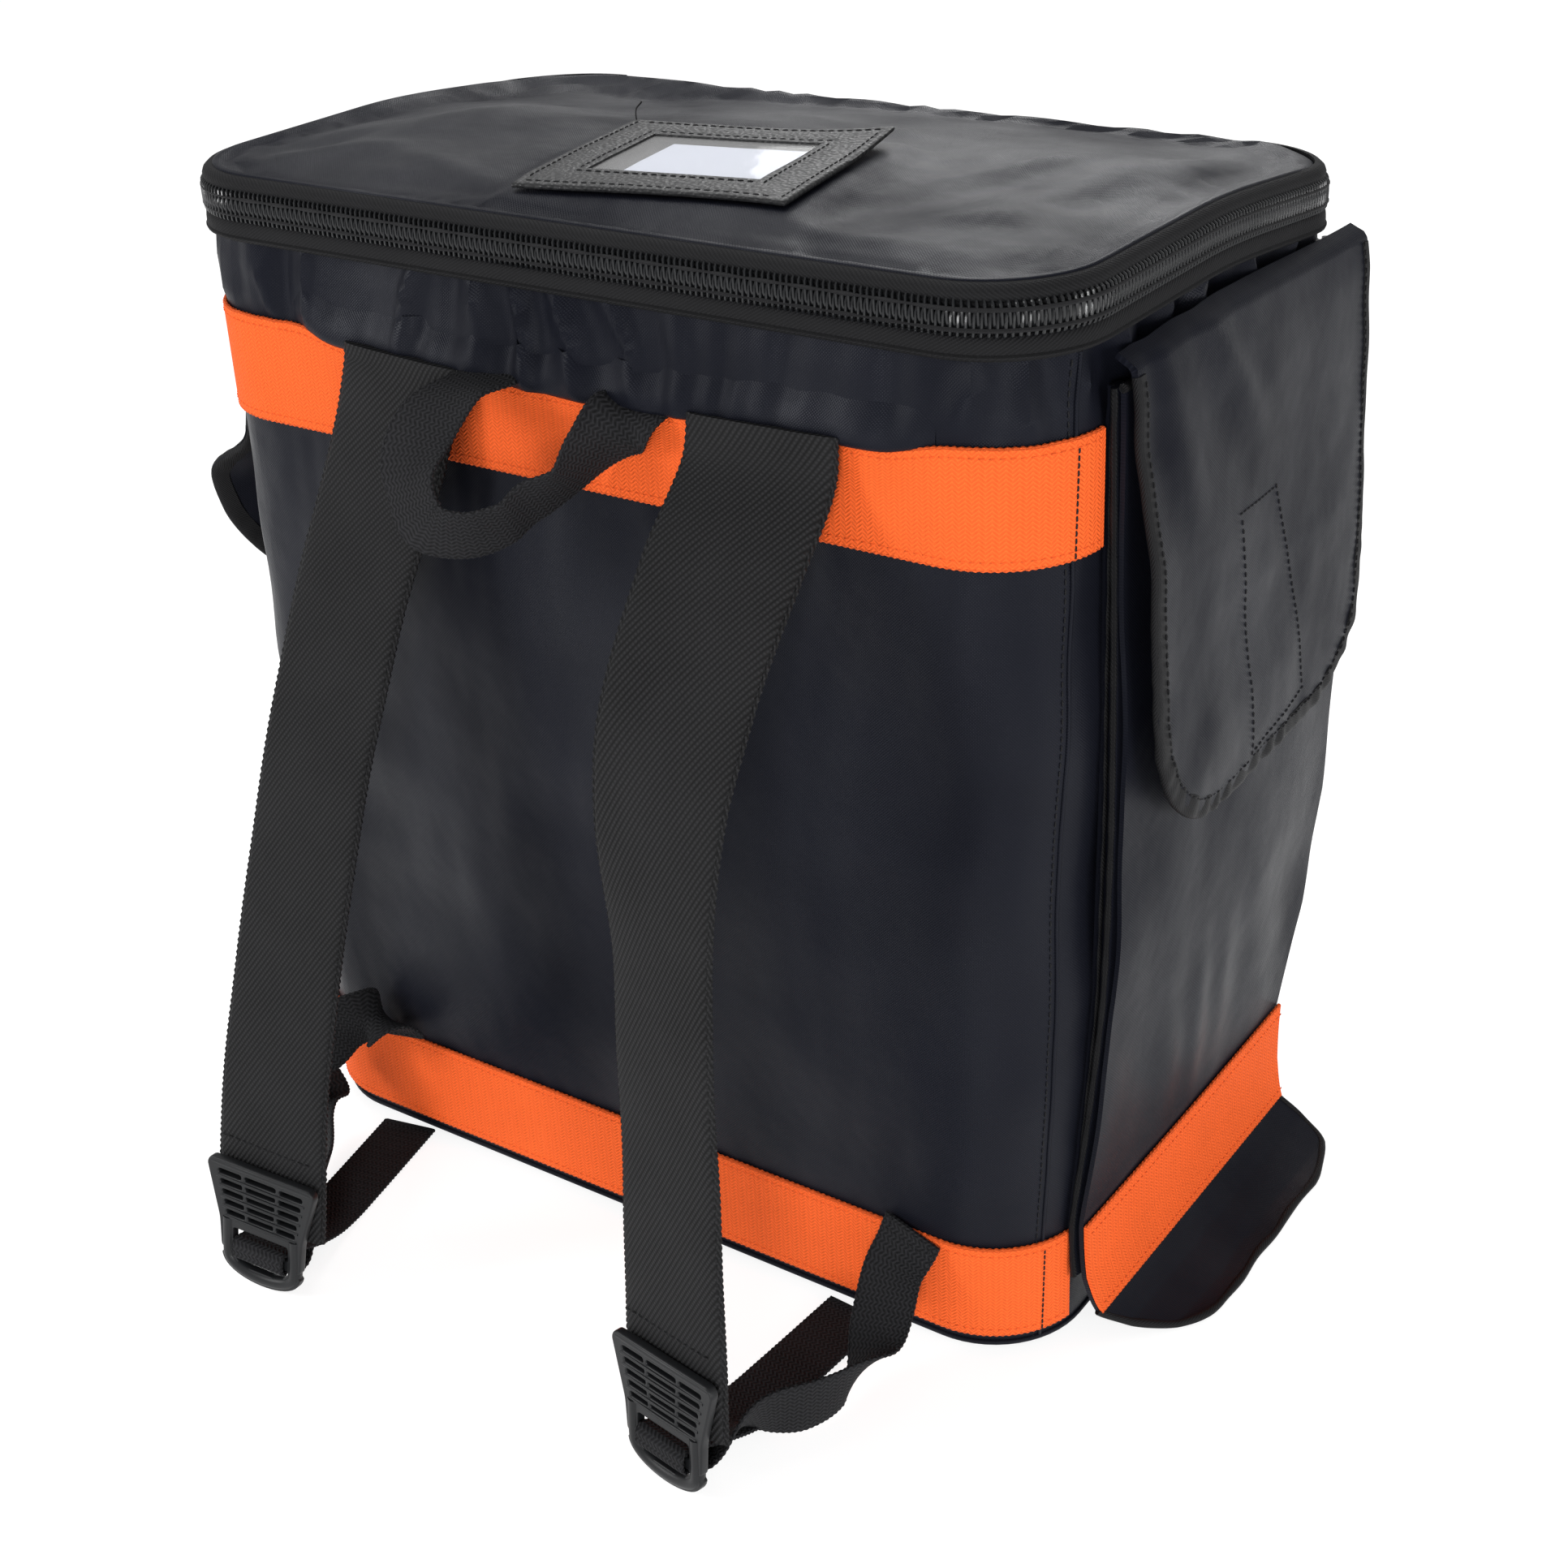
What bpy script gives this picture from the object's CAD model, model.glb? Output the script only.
"""Tool backpack: the soft bag, its harness, pockets and zips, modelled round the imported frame.

Every length is in metres, in the frame's axes: +Z up, the wearer's side at -Y."""
import math

import bmesh
import bpy
import numpy as np
from bpy.props import FloatProperty, FloatVectorProperty, PointerProperty
from mathutils import Matrix, Vector, noise


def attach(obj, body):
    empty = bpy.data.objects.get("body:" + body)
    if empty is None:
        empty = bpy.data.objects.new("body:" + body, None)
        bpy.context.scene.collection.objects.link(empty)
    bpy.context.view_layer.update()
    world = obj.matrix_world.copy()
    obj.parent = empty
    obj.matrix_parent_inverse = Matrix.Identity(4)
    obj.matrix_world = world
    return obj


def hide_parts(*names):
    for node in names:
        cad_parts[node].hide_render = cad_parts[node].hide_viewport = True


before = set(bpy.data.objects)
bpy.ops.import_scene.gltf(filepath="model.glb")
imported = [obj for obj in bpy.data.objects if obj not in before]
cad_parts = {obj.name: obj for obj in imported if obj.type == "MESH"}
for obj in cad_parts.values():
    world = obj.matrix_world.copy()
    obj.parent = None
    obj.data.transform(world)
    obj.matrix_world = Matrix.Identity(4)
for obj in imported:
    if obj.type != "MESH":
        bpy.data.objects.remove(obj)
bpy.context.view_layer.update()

bl_info = {
    "name": "Tool Backpack",
    "version": (1, 0, 0),
    "blender": (4, 5, 0),
    "location": "3D View > Sidebar > Backpack",
    "description": "Builds a soft tool backpack piece by piece",
    "category": "Add Mesh",
}

MM = 0.001
UP = np.array([0.0, 0.0, 1.0])
SIDES = {"left": -1, "right": 1}


def length(name, description, default, **more):
    return FloatProperty(name=name, description=description, default=default, unit="LENGTH",
                         precision=4, **more)


def colour(name, description, default):
    return FloatVectorProperty(name=name, description=description, default=default, subtype="COLOR", size=3)


class BackpackBagSizes(bpy.types.PropertyGroup):
    """Sizes of the bag itself"""
    width: length("Width", "Side to side, at the bands", 0.374)
    depth: length("Depth", "From the wearer's side to the front", 0.234)
    zip_height: length("Zip height", "Height of the lid's zip at the wearer's side", 0.407)
    corner: length("Corner", "Radius of the upright corners", 0.038)
    wall: length("Wall", "Thickness of the padded cloth", 0.003)
    back_bulge: length("Back bulge", "How far the back panel swells", 0.007)
    side_bulge: length("Side bulge", "How far the sides swell", 0.0015)
    front_sag: length("Front sag", "How far the lid drops towards the front", 0.009)
    lid_rise: length("Lid rise", "Height of the lid's crown over its rim", 0.011)
    pucker: length("Pucker", "Depth of the gathers in the collar", 0.0042)
    chain: length("Zip chain", "Width of the closed coil", 0.0115)
    tooth_pitch: length("Tooth pitch", "Distance from tooth to tooth", 0.0023)
    band: length("Band width", "Width of the orange bands", 0.04)
    band_top: length("Upper band height", "Middle of the upper band", 0.345)
    band_bottom: length("Lower band height", "Middle of the lower band", 0.03)
    band_thickness: length("Band thickness", "Thickness of the orange bands", 0.0016)


class BackpackHarnessSizes(bpy.types.PropertyGroup):
    """Sizes of the harness"""
    strap_width: length("Strap width", "Width of a harness strap", 0.052)
    strap_thickness: length("Strap thickness", "Thickness of a harness strap", 0.006)
    strap_top: length("Strap top", "Height where the straps are sewn on", 0.363)
    strap_end: length("Strap end", "Height of the straps' lower ends", 0.0259)
    strap_reach: length("Strap reach", "How far the straps stand out at the floor", 0.108)
    strap_spacing: length("Strap spacing", "Distance between the straps' tops", 0.165)
    strap_spread: length("Strap spread", "How much the straps part on the way down", 0.046)
    webbing_width: length("Webbing width", "Width of the black webbing", 0.025)
    webbing_thickness: length("Webbing thickness", "Thickness of the black webbing", 0.0016)
    buckle_height: length("Buckle height", "Comb to nose", 0.053)
    buckle_top: length("Buckle width", "Width of the comb plate", 0.053)
    buckle_neck: length("Buckle neck", "Width below the comb", 0.041)
    comb: length("Comb height", "Height of the comb plate", 0.027)
    loop_middle: length("Loop middle", "Middle of the carry loop, across the bag", 0.003, min=-0.1)
    loop_span: length("Loop span", "Distance between the ends of the carry loop", 0.051)
    loop_top: length("Loop top", "Height that the loop's route is measured down from", 0.3685)
    loop_drop: length("Loop drop", "How far the carry loop hangs down", 0.066)
    loop_reach: length("Loop reach", "How far the carry loop stands out", 0.03)


class BackpackPocketSizes(bpy.types.PropertyGroup):
    """Sizes of the pockets and the label holder"""
    top: length("Pocket top", "Height of the side pockets' upper edge", 0.378)
    near: length("Pocket near edge", "Side pocket's edge towards the wearer", 0.077)
    far: length("Pocket far edge", "Side pocket's edge towards the front", 0.108)
    out: length("Pocket depth", "How far the side pockets stand out", 0.01)
    flap_top: length("Flap top", "Height of the flaps' upper edge", 0.388)
    flap_drop: length("Flap drop", "Length of the flaps", 0.181)
    flap_near: length("Flap near edge", "Flap's edge towards the wearer", 0.076)
    flap_far: length("Flap far edge", "Flap's edge towards the front", 0.109)
    flap_out: length("Flap depth", "How far the flaps stand out", 0.022)
    lip: length("Lip reach", "How far the lip under the pocket lies out on the floor", 0.043)
    binding: length("Binding width", "Width of the tape that binds the cloth's edges", 0.008)
    front_width: length("Front pocket width", "Side to side", 0.29)
    front_bottom: length("Front pocket bottom", "Height of its lower edge", 0.056)
    front_top: length("Front pocket top", "Height of its upper edge", 0.304)
    front_depth: length("Front pocket depth", "How far it stands out", 0.024)
    label_width: length("Label width", "Long side of the label holder", 0.104)
    label_depth: length("Label depth", "Short side of the label holder", 0.084)
    label_border: length("Label border", "Width of the label holder's frame", 0.019)


class BackpackColours(bpy.types.PropertyGroup):
    """Colours of the cloths, webbings and plastics"""
    cloth: colour("Cloth", "Coated cloth of the bag", (0.0064, 0.007, 0.0108))
    orange: colour("Orange", "Orange bands", (0.86, 0.122, 0.023))
    strap: colour("Strap", "Harness straps", (0.0085, 0.0085, 0.009))
    webbing: colour("Webbing", "Black webbing and tapes", (0.008, 0.008, 0.0088))
    plastic: colour("Plastic", "Buckles and zip coil", (0.008, 0.0085, 0.0095))
    leather: colour("Leather", "Label holder", (0.008, 0.0082, 0.009))
    card: colour("Card", "Blank card in the label holder", (0.5, 0.53, 0.62))
    floor: colour("Floor", "Studio floor", (0.3, 0.3, 0.3))


def bag():
    return bpy.context.scene.backpack_bag


def harness():
    return bpy.context.scene.backpack_harness


def pocket():
    return bpy.context.scene.backpack_pocket


def colours():
    return bpy.context.scene.backpack_colours


def half_width():
    return bag().width / 2


# Materials

class Finish:
    """A node material with one Principled shader, and short names for the nodes that feed it."""

    def __init__(self, name, base, roughness, **sockets):
        self.material = bpy.data.materials.new(name)
        self.material.use_nodes = True
        self.tree = self.material.node_tree
        self.shader = self.tree.nodes["Principled BSDF"]
        self.shader.inputs["Base Color"].default_value = (*base, 1)
        self.shader.inputs["Roughness"].default_value = roughness
        for socket, value in sockets.items():
            self.shader.inputs[socket.replace("_", " ")].default_value = value
        self.base = base
        self.parts = None

    def new(self, kind, **settings):
        node = self.tree.nodes.new(kind)
        for key, value in settings.items():
            setattr(node, key, value)
        return node

    def join(self, source, target):
        self.tree.links.new(source, target)

    def math(self, operation, first, second=0.0, third=0.0):
        node = self.new("ShaderNodeMath", operation=operation)
        for socket, value in zip(node.inputs, (first, second, third)):
            if isinstance(value, (int, float)):
                socket.default_value = value
            else:
                self.join(value, socket)
        return node.outputs[0]

    def run(self, axis):
        """Distance along (0) or across (1) the cloth, in metres."""
        if self.parts is None:
            uv = self.new("ShaderNodeUVMap", uv_map="cloth")
            self.parts = self.new("ShaderNodeSeparateXYZ")
            self.join(uv.outputs[0], self.parts.inputs[0])
        return self.parts.outputs[axis]

    def waves(self, value, pitch, phase=0.0):
        """A sine from 0 to 1 with that pitch."""
        turned = self.math("MULTIPLY_ADD", value, 2 * math.pi / pitch, phase)
        return self.math("MULTIPLY_ADD", self.math("SINE", turned), 0.5, 0.5)

    def cloud(self, size, detail=2.0, stretch=(1, 1, 1)):
        """Soft noise whose blobs are about that size, in metres."""
        place = self.new("ShaderNodeTexCoord")
        scale = self.new("ShaderNodeMapping")
        scale.inputs["Scale"].default_value = stretch
        blobs = self.new("ShaderNodeTexNoise")
        blobs.inputs["Scale"].default_value = 1 / size
        blobs.inputs["Detail"].default_value = detail
        self.join(place.outputs["Object"], scale.inputs[0])
        self.join(scale.outputs[0], blobs.inputs["Vector"])
        return blobs.outputs["Fac"]

    def tint(self, factor, low, high):
        """Base colour between low and high times the finish's own colour."""
        mix = self.new("ShaderNodeMix", data_type="RGBA")
        mix.inputs[6].default_value = (*[c * low for c in self.base], 1)
        mix.inputs[7].default_value = (*[c * high for c in self.base], 1)
        self.join(factor, mix.inputs[0])
        self.join(mix.outputs[2], self.shader.inputs["Base Color"])

    def gloss(self, factor, low, high):
        span = self.new("ShaderNodeMapRange")
        span.inputs[3].default_value = low
        span.inputs[4].default_value = high
        self.join(factor, span.inputs[0])
        self.join(span.outputs[0], self.shader.inputs["Roughness"])

    def relief(self, *layers):
        """Bumps, the coarsest first: each is (height, strength, depth in metres)."""
        normal = None
        for height, strength, depth in layers:
            bump = self.new("ShaderNodeBump")
            bump.inputs["Strength"].default_value = strength
            bump.inputs["Distance"].default_value = depth
            self.join(height, bump.inputs["Height"])
            if normal is not None:
                self.join(normal, bump.inputs["Normal"])
            normal = bump.outputs[0]
        self.join(normal, self.shader.inputs["Normal"])


def coated_cloth(name, crease=1.0, weave=1.1 * MM):
    """Woven cloth under a coat whose sheen is stronger in some patches than in others."""
    f = Finish(name, colours().cloth, 0.4, IOR=1.16, Specular_Tint=(0.9, 0.92, 1.0, 1))
    leaning = f.math("ADD", f.run(0), f.run(1)), f.math("SUBTRACT", f.run(0), f.run(1))
    threads = f.math("MULTIPLY", f.waves(leaning[0], weave), f.waves(leaning[1], weave))
    soft = f.cloud(0.05, 3.0)
    fine = f.cloud(0.012, 4.0)
    f.tint(f.math("MULTIPLY_ADD", threads, 0.5, f.math("MULTIPLY", soft, 0.6)), 0.7, 1.55)
    f.gloss(fine, 0.3, 0.42)
    sheen = f.new("ShaderNodeMapRange")
    for k, value in enumerate((0.32, 0.68, 0.25, 1.0)):
        sheen.inputs[k + 1].default_value = value
    f.join(f.cloud(0.07, 2.0, (1, 1, 0.45)), sheen.inputs[0])
    f.join(sheen.outputs[0], f.shader.inputs["Specular IOR Level"])
    f.relief((soft, 0.4 * crease, 5 * MM), (fine, 0.25 * crease, 0.8 * MM), (threads, 0.4, 0.2 * MM))
    return f.material


def herringbone(name, base, pitch, column, depth, low, high, roughness=0.78):
    """Webbing: rows of threads that zigzag in columns across its run."""
    f = Finish(name, base, roughness, IOR=1.2)
    zigzag = f.math("PINGPONG", f.run(0), column / 2)
    rows = f.waves(f.math("MULTIPLY_ADD", zigzag, 0.9, f.run(1)), pitch)
    columns = f.waves(f.run(0), column / 2, math.pi / 2)
    threads = f.math("ADD", f.math("MULTIPLY", rows, 0.75), f.math("MULTIPLY", columns, 0.25))
    worn = f.cloud(0.02, 3.0)
    f.tint(f.math("MULTIPLY_ADD", worn, 0.3, f.math("MULTIPLY", threads, 0.8)), low, high)
    f.relief((threads, 0.8, depth),)
    return f.material


def twill(name, base, pitch, depth, low, high, roughness=0.7):
    """Close diagonal ribs with a finer weave across them."""
    f = Finish(name, base, roughness, IOR=1.22)
    slope = f.math("MULTIPLY_ADD", f.run(0), 0.62, f.run(1))
    other = f.math("MULTIPLY_ADD", f.run(0), -1.3, f.run(1))
    ribs = f.math("MULTIPLY", f.waves(slope, pitch), f.math("MULTIPLY_ADD", f.waves(other, pitch), 0.5, 0.5))
    worn = f.cloud(0.03, 3.0)
    f.tint(f.math("MULTIPLY_ADD", worn, 0.35, f.math("MULTIPLY", ribs, 0.8)), low, high)
    f.relief((ribs, 0.75, depth),)
    return f.material


def moulded(name, roughness=0.4, ior=1.33):
    f = Finish(name, colours().plastic, roughness, IOR=ior)
    grain = f.cloud(0.0006, 2.0)
    worn = f.cloud(0.02, 3.0)
    f.tint(worn, 0.8, 1.5)
    f.gloss(worn, roughness - 0.05, roughness + 0.08)
    f.relief((grain, 0.15, 0.1 * MM),)
    return f.material


def grained_leather(name):
    f = Finish(name, colours().leather, 0.42, IOR=1.4)
    place = f.new("ShaderNodeTexCoord")
    cells = f.new("ShaderNodeTexVoronoi", feature="SMOOTH_F1")
    cells.inputs["Scale"].default_value = 620
    cells.inputs["Smoothness"].default_value = 0.6
    f.join(place.outputs["Object"], cells.inputs["Vector"])
    grain = cells.outputs["Distance"]
    f.tint(grain, 1.7, 0.7)
    f.gloss(grain, 0.34, 0.6)
    f.relief((f.cloud(0.006, 3.0), 0.3, 0.5 * MM), (f.math("SUBTRACT", 1.0, grain), 0.75, 0.45 * MM))
    return f.material


def thread(name, base):
    f = Finish(name, base, 0.6, IOR=1.25)
    twist = f.waves(f.math("MULTIPLY_ADD", f.run(0), 1.0, f.run(1)), 0.8 * MM)
    f.tint(twist, 0.6, 1.4)
    f.relief((twist, 0.5, 0.1 * MM),)
    return f.material


def blank_card(name):
    f = Finish(name, colours().card, 0.5)
    f.tint(f.cloud(0.03, 2.0), 0.96, 1.02)
    f.relief((f.cloud(0.0007, 2.0), 0.1, 0.05 * MM),)
    return f.material


def clear_film(name):
    f = Finish(name, (1, 1, 1), 0.06, IOR=1.35, Alpha=0.14, Specular_IOR_Level=0.5)
    f.relief((f.cloud(0.02, 2.0), 0.25, 0.6 * MM),)
    return f.material


LOOKS = {}


def look(kind):
    """The material of that kind, made once."""
    if kind not in LOOKS:
        c = colours()
        makers = {
            "cloth": lambda: coated_cloth("Coated cloth"),
            "lid": lambda: coated_cloth("Lid cloth", 1.25),
            "pocket": lambda: coated_cloth("Pocket cloth", 0.8),
            "orange": lambda: herringbone(
                "Orange webbing", c.orange, 1.5 * MM, 4.2 * MM, 0.4 * MM, 0.72, 1.14),
            "orange_edge": lambda: twill("Orange edge", c.orange, 2.2 * MM, 0.3 * MM, 0.5, 1.05),
            "webbing": lambda: herringbone(
                "Black webbing", c.webbing, 2.0 * MM, 3.4 * MM, 0.55 * MM, 0.35, 3.0),
            "strap": lambda: twill("Strap twill", c.strap, 2.1 * MM, 0.55 * MM, 0.25, 3.0),
            "tape": lambda: twill("Zip tape", c.webbing, 1.2 * MM, 0.25 * MM, 0.55, 1.6),
            "binding": lambda: twill("Binding tape", c.webbing, 1.0 * MM, 0.2 * MM, 0.6, 1.5, 0.55),
            "coil": lambda: moulded("Nylon coil", 0.2, 1.42),
            "buckle": lambda: moulded("Moulded buckle", 0.4),
            "slider": lambda: moulded("Zip slider", 0.3),
            "leather": lambda: grained_leather("Grained leather"),
            "thread": lambda: thread("Black thread", (0.01, 0.01, 0.011)),
            "card": lambda: blank_card("Blank card"),
            "film": lambda: clear_film("Clear film"),
        }
        LOOKS[kind] = makers[kind]()
    return LOOKS[kind]


# Shapes

def unit(v):
    v = np.asarray(v, float)
    return v / np.maximum(np.linalg.norm(v, axis=-1, keepdims=True), 1e-12)


def together(*measures):
    """The measures along a last axis, each spread over the grid that they make together."""
    return np.stack(np.broadcast_arrays(*measures), -1)


def moved(points, matrix):
    m = np.array(matrix)
    return points @ m[:3, :3].T + m[:3, 3]


def add_piece(name, points, faces, uv, kind, nodes=()):
    """A smooth mesh that rides on the bag. uv is in metres along and across the cloth."""
    mesh = bpy.data.meshes.new(name)
    mesh.from_pydata(np.asarray(points).reshape(-1, 3).tolist(), [], [list(f) for f in faces])
    layer = mesh.uv_layers.new(name="cloth")
    corners = np.zeros(len(mesh.loops), int)
    mesh.loops.foreach_get("vertex_index", corners)
    layer.data.foreach_set("uv", np.asarray(uv, float).reshape(-1, 2)[corners].ravel())
    mesh.materials.append(look(kind))
    mesh.shade_smooth()
    mesh.set_sharp_from_angle(angle=math.radians(52))
    piece = bpy.data.objects.new(name, mesh)
    bpy.context.scene.collection.objects.link(piece)
    return placed(piece, nodes)


def placed(piece, nodes=()):
    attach(piece, "root")
    if nodes:
        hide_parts(*nodes)
    return piece


def grid_faces(rows, columns, wrap=False, start=0):
    i = np.arange(rows - 1)[:, None]
    j = np.arange(columns if wrap else columns - 1)[None, :]
    k = (j + 1) % columns
    corners = [i * columns + j, i * columns + k, (i + 1) * columns + k, (i + 1) * columns + j]
    return (np.stack(corners, -1).reshape(-1, 4) + start).tolist()


def tube_faces(rows, columns, start=0):
    """Faces of a closed tube of rings, with a cap at both ends."""
    last = start + (rows - 1) * columns
    caps = [[start + k for k in range(columns)][::-1], [last + k for k in range(columns)]]
    return grid_faces(rows, columns, wrap=True, start=start) + caps


def smooth_path(points, count):
    """count + 1 places on a centripetal curve through the points, evenly spaced by point."""
    p = np.asarray(points, float)
    p = np.vstack([2 * p[0] - p[1], p, 2 * p[-1] - p[-2]])
    steps = np.maximum(np.sum(np.diff(p[:, :3], axis=0) ** 2, axis=1) ** 0.25, 1e-6)
    t = np.linspace(0, len(points) - 1, count + 1)
    i = np.minimum(t.astype(int), len(points) - 2)
    w = (t - i)[:, None]
    a, b, c, d = p[i], p[i + 1], p[i + 2], p[i + 3]
    d0, d1, d2 = (steps[i + n][:, None] for n in range(3))
    t1 = ((b - a) / d0 - (c - a) / (d0 + d1) + (c - b) / d1) * d1
    t2 = ((c - b) / d1 - (d - b) / (d1 + d2) + (d - c) / d2) * d1
    return b + t1 * w + (-3 * b + 3 * c - 2 * t1 - t2) * w ** 2 + (2 * b - 2 * c + t1 + t2) * w ** 3


def run_of(path):
    steps = np.linalg.norm(np.diff(path, axis=0), axis=1)
    return np.concatenate([[0], np.cumsum(steps)])


def resample(path, step, *others):
    """The path, and what goes with it point for point, at even steps."""
    run = run_of(path)
    at = np.linspace(0, run[-1], max(int(run[-1] / step), 2) + 1)
    return [np.stack([np.interp(at, run, a[:, k]) for k in range(a.shape[1])], 1) for a in (path, *others)]


def frames_along(points, across, count):
    """Places on a smooth path, with the direction across and out of the strip at each."""
    at = smooth_path(points, count)
    u = smooth_path(np.asarray(across, float), count)
    along = unit(np.gradient(at, axis=0))
    u = unit(u - along * np.sum(u * along, 1, keepdims=True))
    return at, u, unit(np.cross(along, u))


def sweep(name, profile, at, u, v, kind, nodes=()):
    """A closed profile carried along frames."""
    rings = at[:, None] + u[:, None] * profile[None, :, :1] + v[:, None] * profile[None, :, 1:2]
    uv = together(run_of(at)[:, None], profile[None, :, 0])
    return add_piece(name, rings, tube_faces(len(at), len(profile)), uv, kind, nodes)


def tube_rings(path, radius, sides=8):
    """Rings round a path, with a radius that may change along it."""
    along = unit(np.gradient(path, axis=0))
    first = np.cross(along[0], UP)
    if np.linalg.norm(first) < 1e-3:
        first = np.cross(along[0], [1.0, 0, 0])
    u = [unit(first)]
    for t in along[1:]:
        u.append(unit(u[-1] - t * np.dot(u[-1], t)))
    u = np.array(u)
    v = np.cross(along, u)
    angle = np.arange(sides) * 2 * math.pi / sides
    size = np.broadcast_to(np.asarray(radius, float), (len(path),))[:, None, None]
    ring = u[:, None] * np.cos(angle)[None, :, None] + v[:, None] * np.sin(angle)[None, :, None]
    return path[:, None] + ring * size, angle


def cord_piece(name, paths, radius, kind, sides=8):
    """One piece made of a tube along each path. radius is a length, or a function of the run."""
    points, faces, uv = [], [], []
    for path in paths:
        run = run_of(path)
        size = radius(run) if callable(radius) else radius
        rings, angle = tube_rings(path, size, sides)
        start = sum(len(p) for p in points)
        faces += tube_faces(len(path), sides, start)
        mean = float(np.mean(size))
        points.append(rings.reshape(-1, 3))
        uv.append(together(run[:, None], angle[None, :] * mean).reshape(-1, 2))
    add_piece(name, np.vstack(points), faces, np.vstack(uv), kind)


def whipped(name, paths, kind, radius=0.95 * MM, pitch=2.4 * MM):
    """The corded edge of a woven band: a row of small turns."""
    fine = [resample(p, pitch / 4)[0] for p in paths]
    cord_piece(name, fine, lambda run: radius * (0.88 + 0.2 * np.sin(2 * math.pi * run / pitch)),
               kind, sides=6)


def thick_sheet(name, grid, uv, thickness, kind, nodes=(), outward=None, lift=0.0):
    """A grid of middle points, thickened along its own normals and closed round the rim."""
    grid = np.asarray(grid, float)
    normal = unit(np.cross(np.gradient(grid, axis=1), np.gradient(grid, axis=0)))
    if outward is not None and np.mean(np.sum(normal * np.asarray(outward), -1)) < 0:
        normal = -normal
    rows, columns = grid.shape[:2]
    front = grid + normal * (lift + thickness / 2)
    back = grid + normal * (lift - thickness / 2)
    size = rows * columns
    faces = grid_faces(rows, columns)
    rim = list(range(columns - 1)) + [i * columns + columns - 1 for i in range(rows - 1)]
    rim += [(rows - 1) * columns + j for j in range(columns - 1, 0, -1)]
    rim += [i * columns for i in range(rows - 1, 0, -1)]
    other = [[f + size for f in reversed(face)] for face in faces]
    edge = [[a + size, b + size, b, a] for a, b in zip(rim, rim[1:] + rim[:1])]
    piece = add_piece(name, np.concatenate([front.reshape(-1, 3), back.reshape(-1, 3)]),
                      faces + other + edge, np.concatenate([np.reshape(uv, (-1, 2))] * 2), kind, nodes)
    settle_normals(piece)


def settle_normals(piece):
    """All faces point out of the closed mesh."""
    work = bmesh.new()
    work.from_mesh(piece.data)
    bmesh.ops.recalc_face_normals(work, faces=work.faces)
    work.to_mesh(piece.data)
    work.free()


def sheet_uv(grid):
    """Metres along and across a grid, measured on its middle row and column."""
    grid = np.asarray(grid)
    rows, columns = grid.shape[:2]
    across = run_of(grid[rows // 2])
    down = run_of(grid[:, columns // 2])
    return together(across[None, :], down[:, None])


def scatter(name, shape, faces, places, kind, nodes=()):
    """Copies of one small shape. places is a list of (origin, x axis, y axis, z axis)."""
    origin, x, y, z = (np.asarray([p[k] for p in places]) for k in range(4))
    shape = np.asarray(shape, float)
    points = (origin[:, None] + x[:, None] * shape[:, 0, None] + y[:, None] * shape[:, 1, None]
              + z[:, None] * shape[:, 2, None])
    count = len(shape)
    every = [[k + n * count for k in face] for n in range(len(places)) for face in faces]
    uv = np.tile(shape[:, :2], (len(places), 1))
    add_piece(name, points, every, uv, kind, nodes)


def spindle(stitch, radius):
    """One stitch along x: thick in the middle, with both ends dipping into the cloth."""
    sides = 6
    rings = [(-0.5, 0.35, -0.9), (-0.36, 0.9, 0.1), (0, 1.0, 0.35), (0.36, 0.9, 0.1), (0.5, 0.35, -0.9)]
    points = [(s * stitch, w * radius * math.cos(a), (h + w * math.sin(a)) * radius)
              for s, w, h in rings for a in np.arange(sides) * 2 * math.pi / sides]
    return points, tube_faces(len(rings), sides)


def stitch_line(name, lines, kind="thread", stitch=2.3 * MM, gap=1.0 * MM, radius=0.27 * MM):
    """Stitches along each (path, normals) pair."""
    places = []
    for path, normals in lines:
        at, out = resample(np.asarray(path, float), stitch + gap, np.asarray(normals, float))
        along = unit(np.gradient(at, axis=0))
        out = unit(out - along * np.sum(out * along, 1, keepdims=True))
        side = np.cross(out, along)
        places += list(zip(at, along, side, out))[:-1]
    points, faces = spindle(stitch, radius)
    scatter(name, points, faces, places, kind)


def strip_profile(width, thickness, belly=0.0, count=9):
    """A flat strip with round edges. belly thickens its middle."""
    half, edge = width / 2, thickness / 2
    x = np.linspace(-half + edge, half - edge, count)
    rise = edge + belly * (1 - (x / half) ** 4)
    turn = np.array([-50, -20, 20, 50]) * math.pi / 180
    right = np.stack([half - edge + edge * np.cos(turn), edge * np.sin(turn)], 1)
    left = np.stack([-half + edge - edge * np.cos(turn[::-1]), edge * np.sin(turn[::-1])], 1)
    return np.vstack([np.stack([x, -rise], 1), right, np.stack([x[::-1], rise[::-1]], 1), left])


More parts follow.
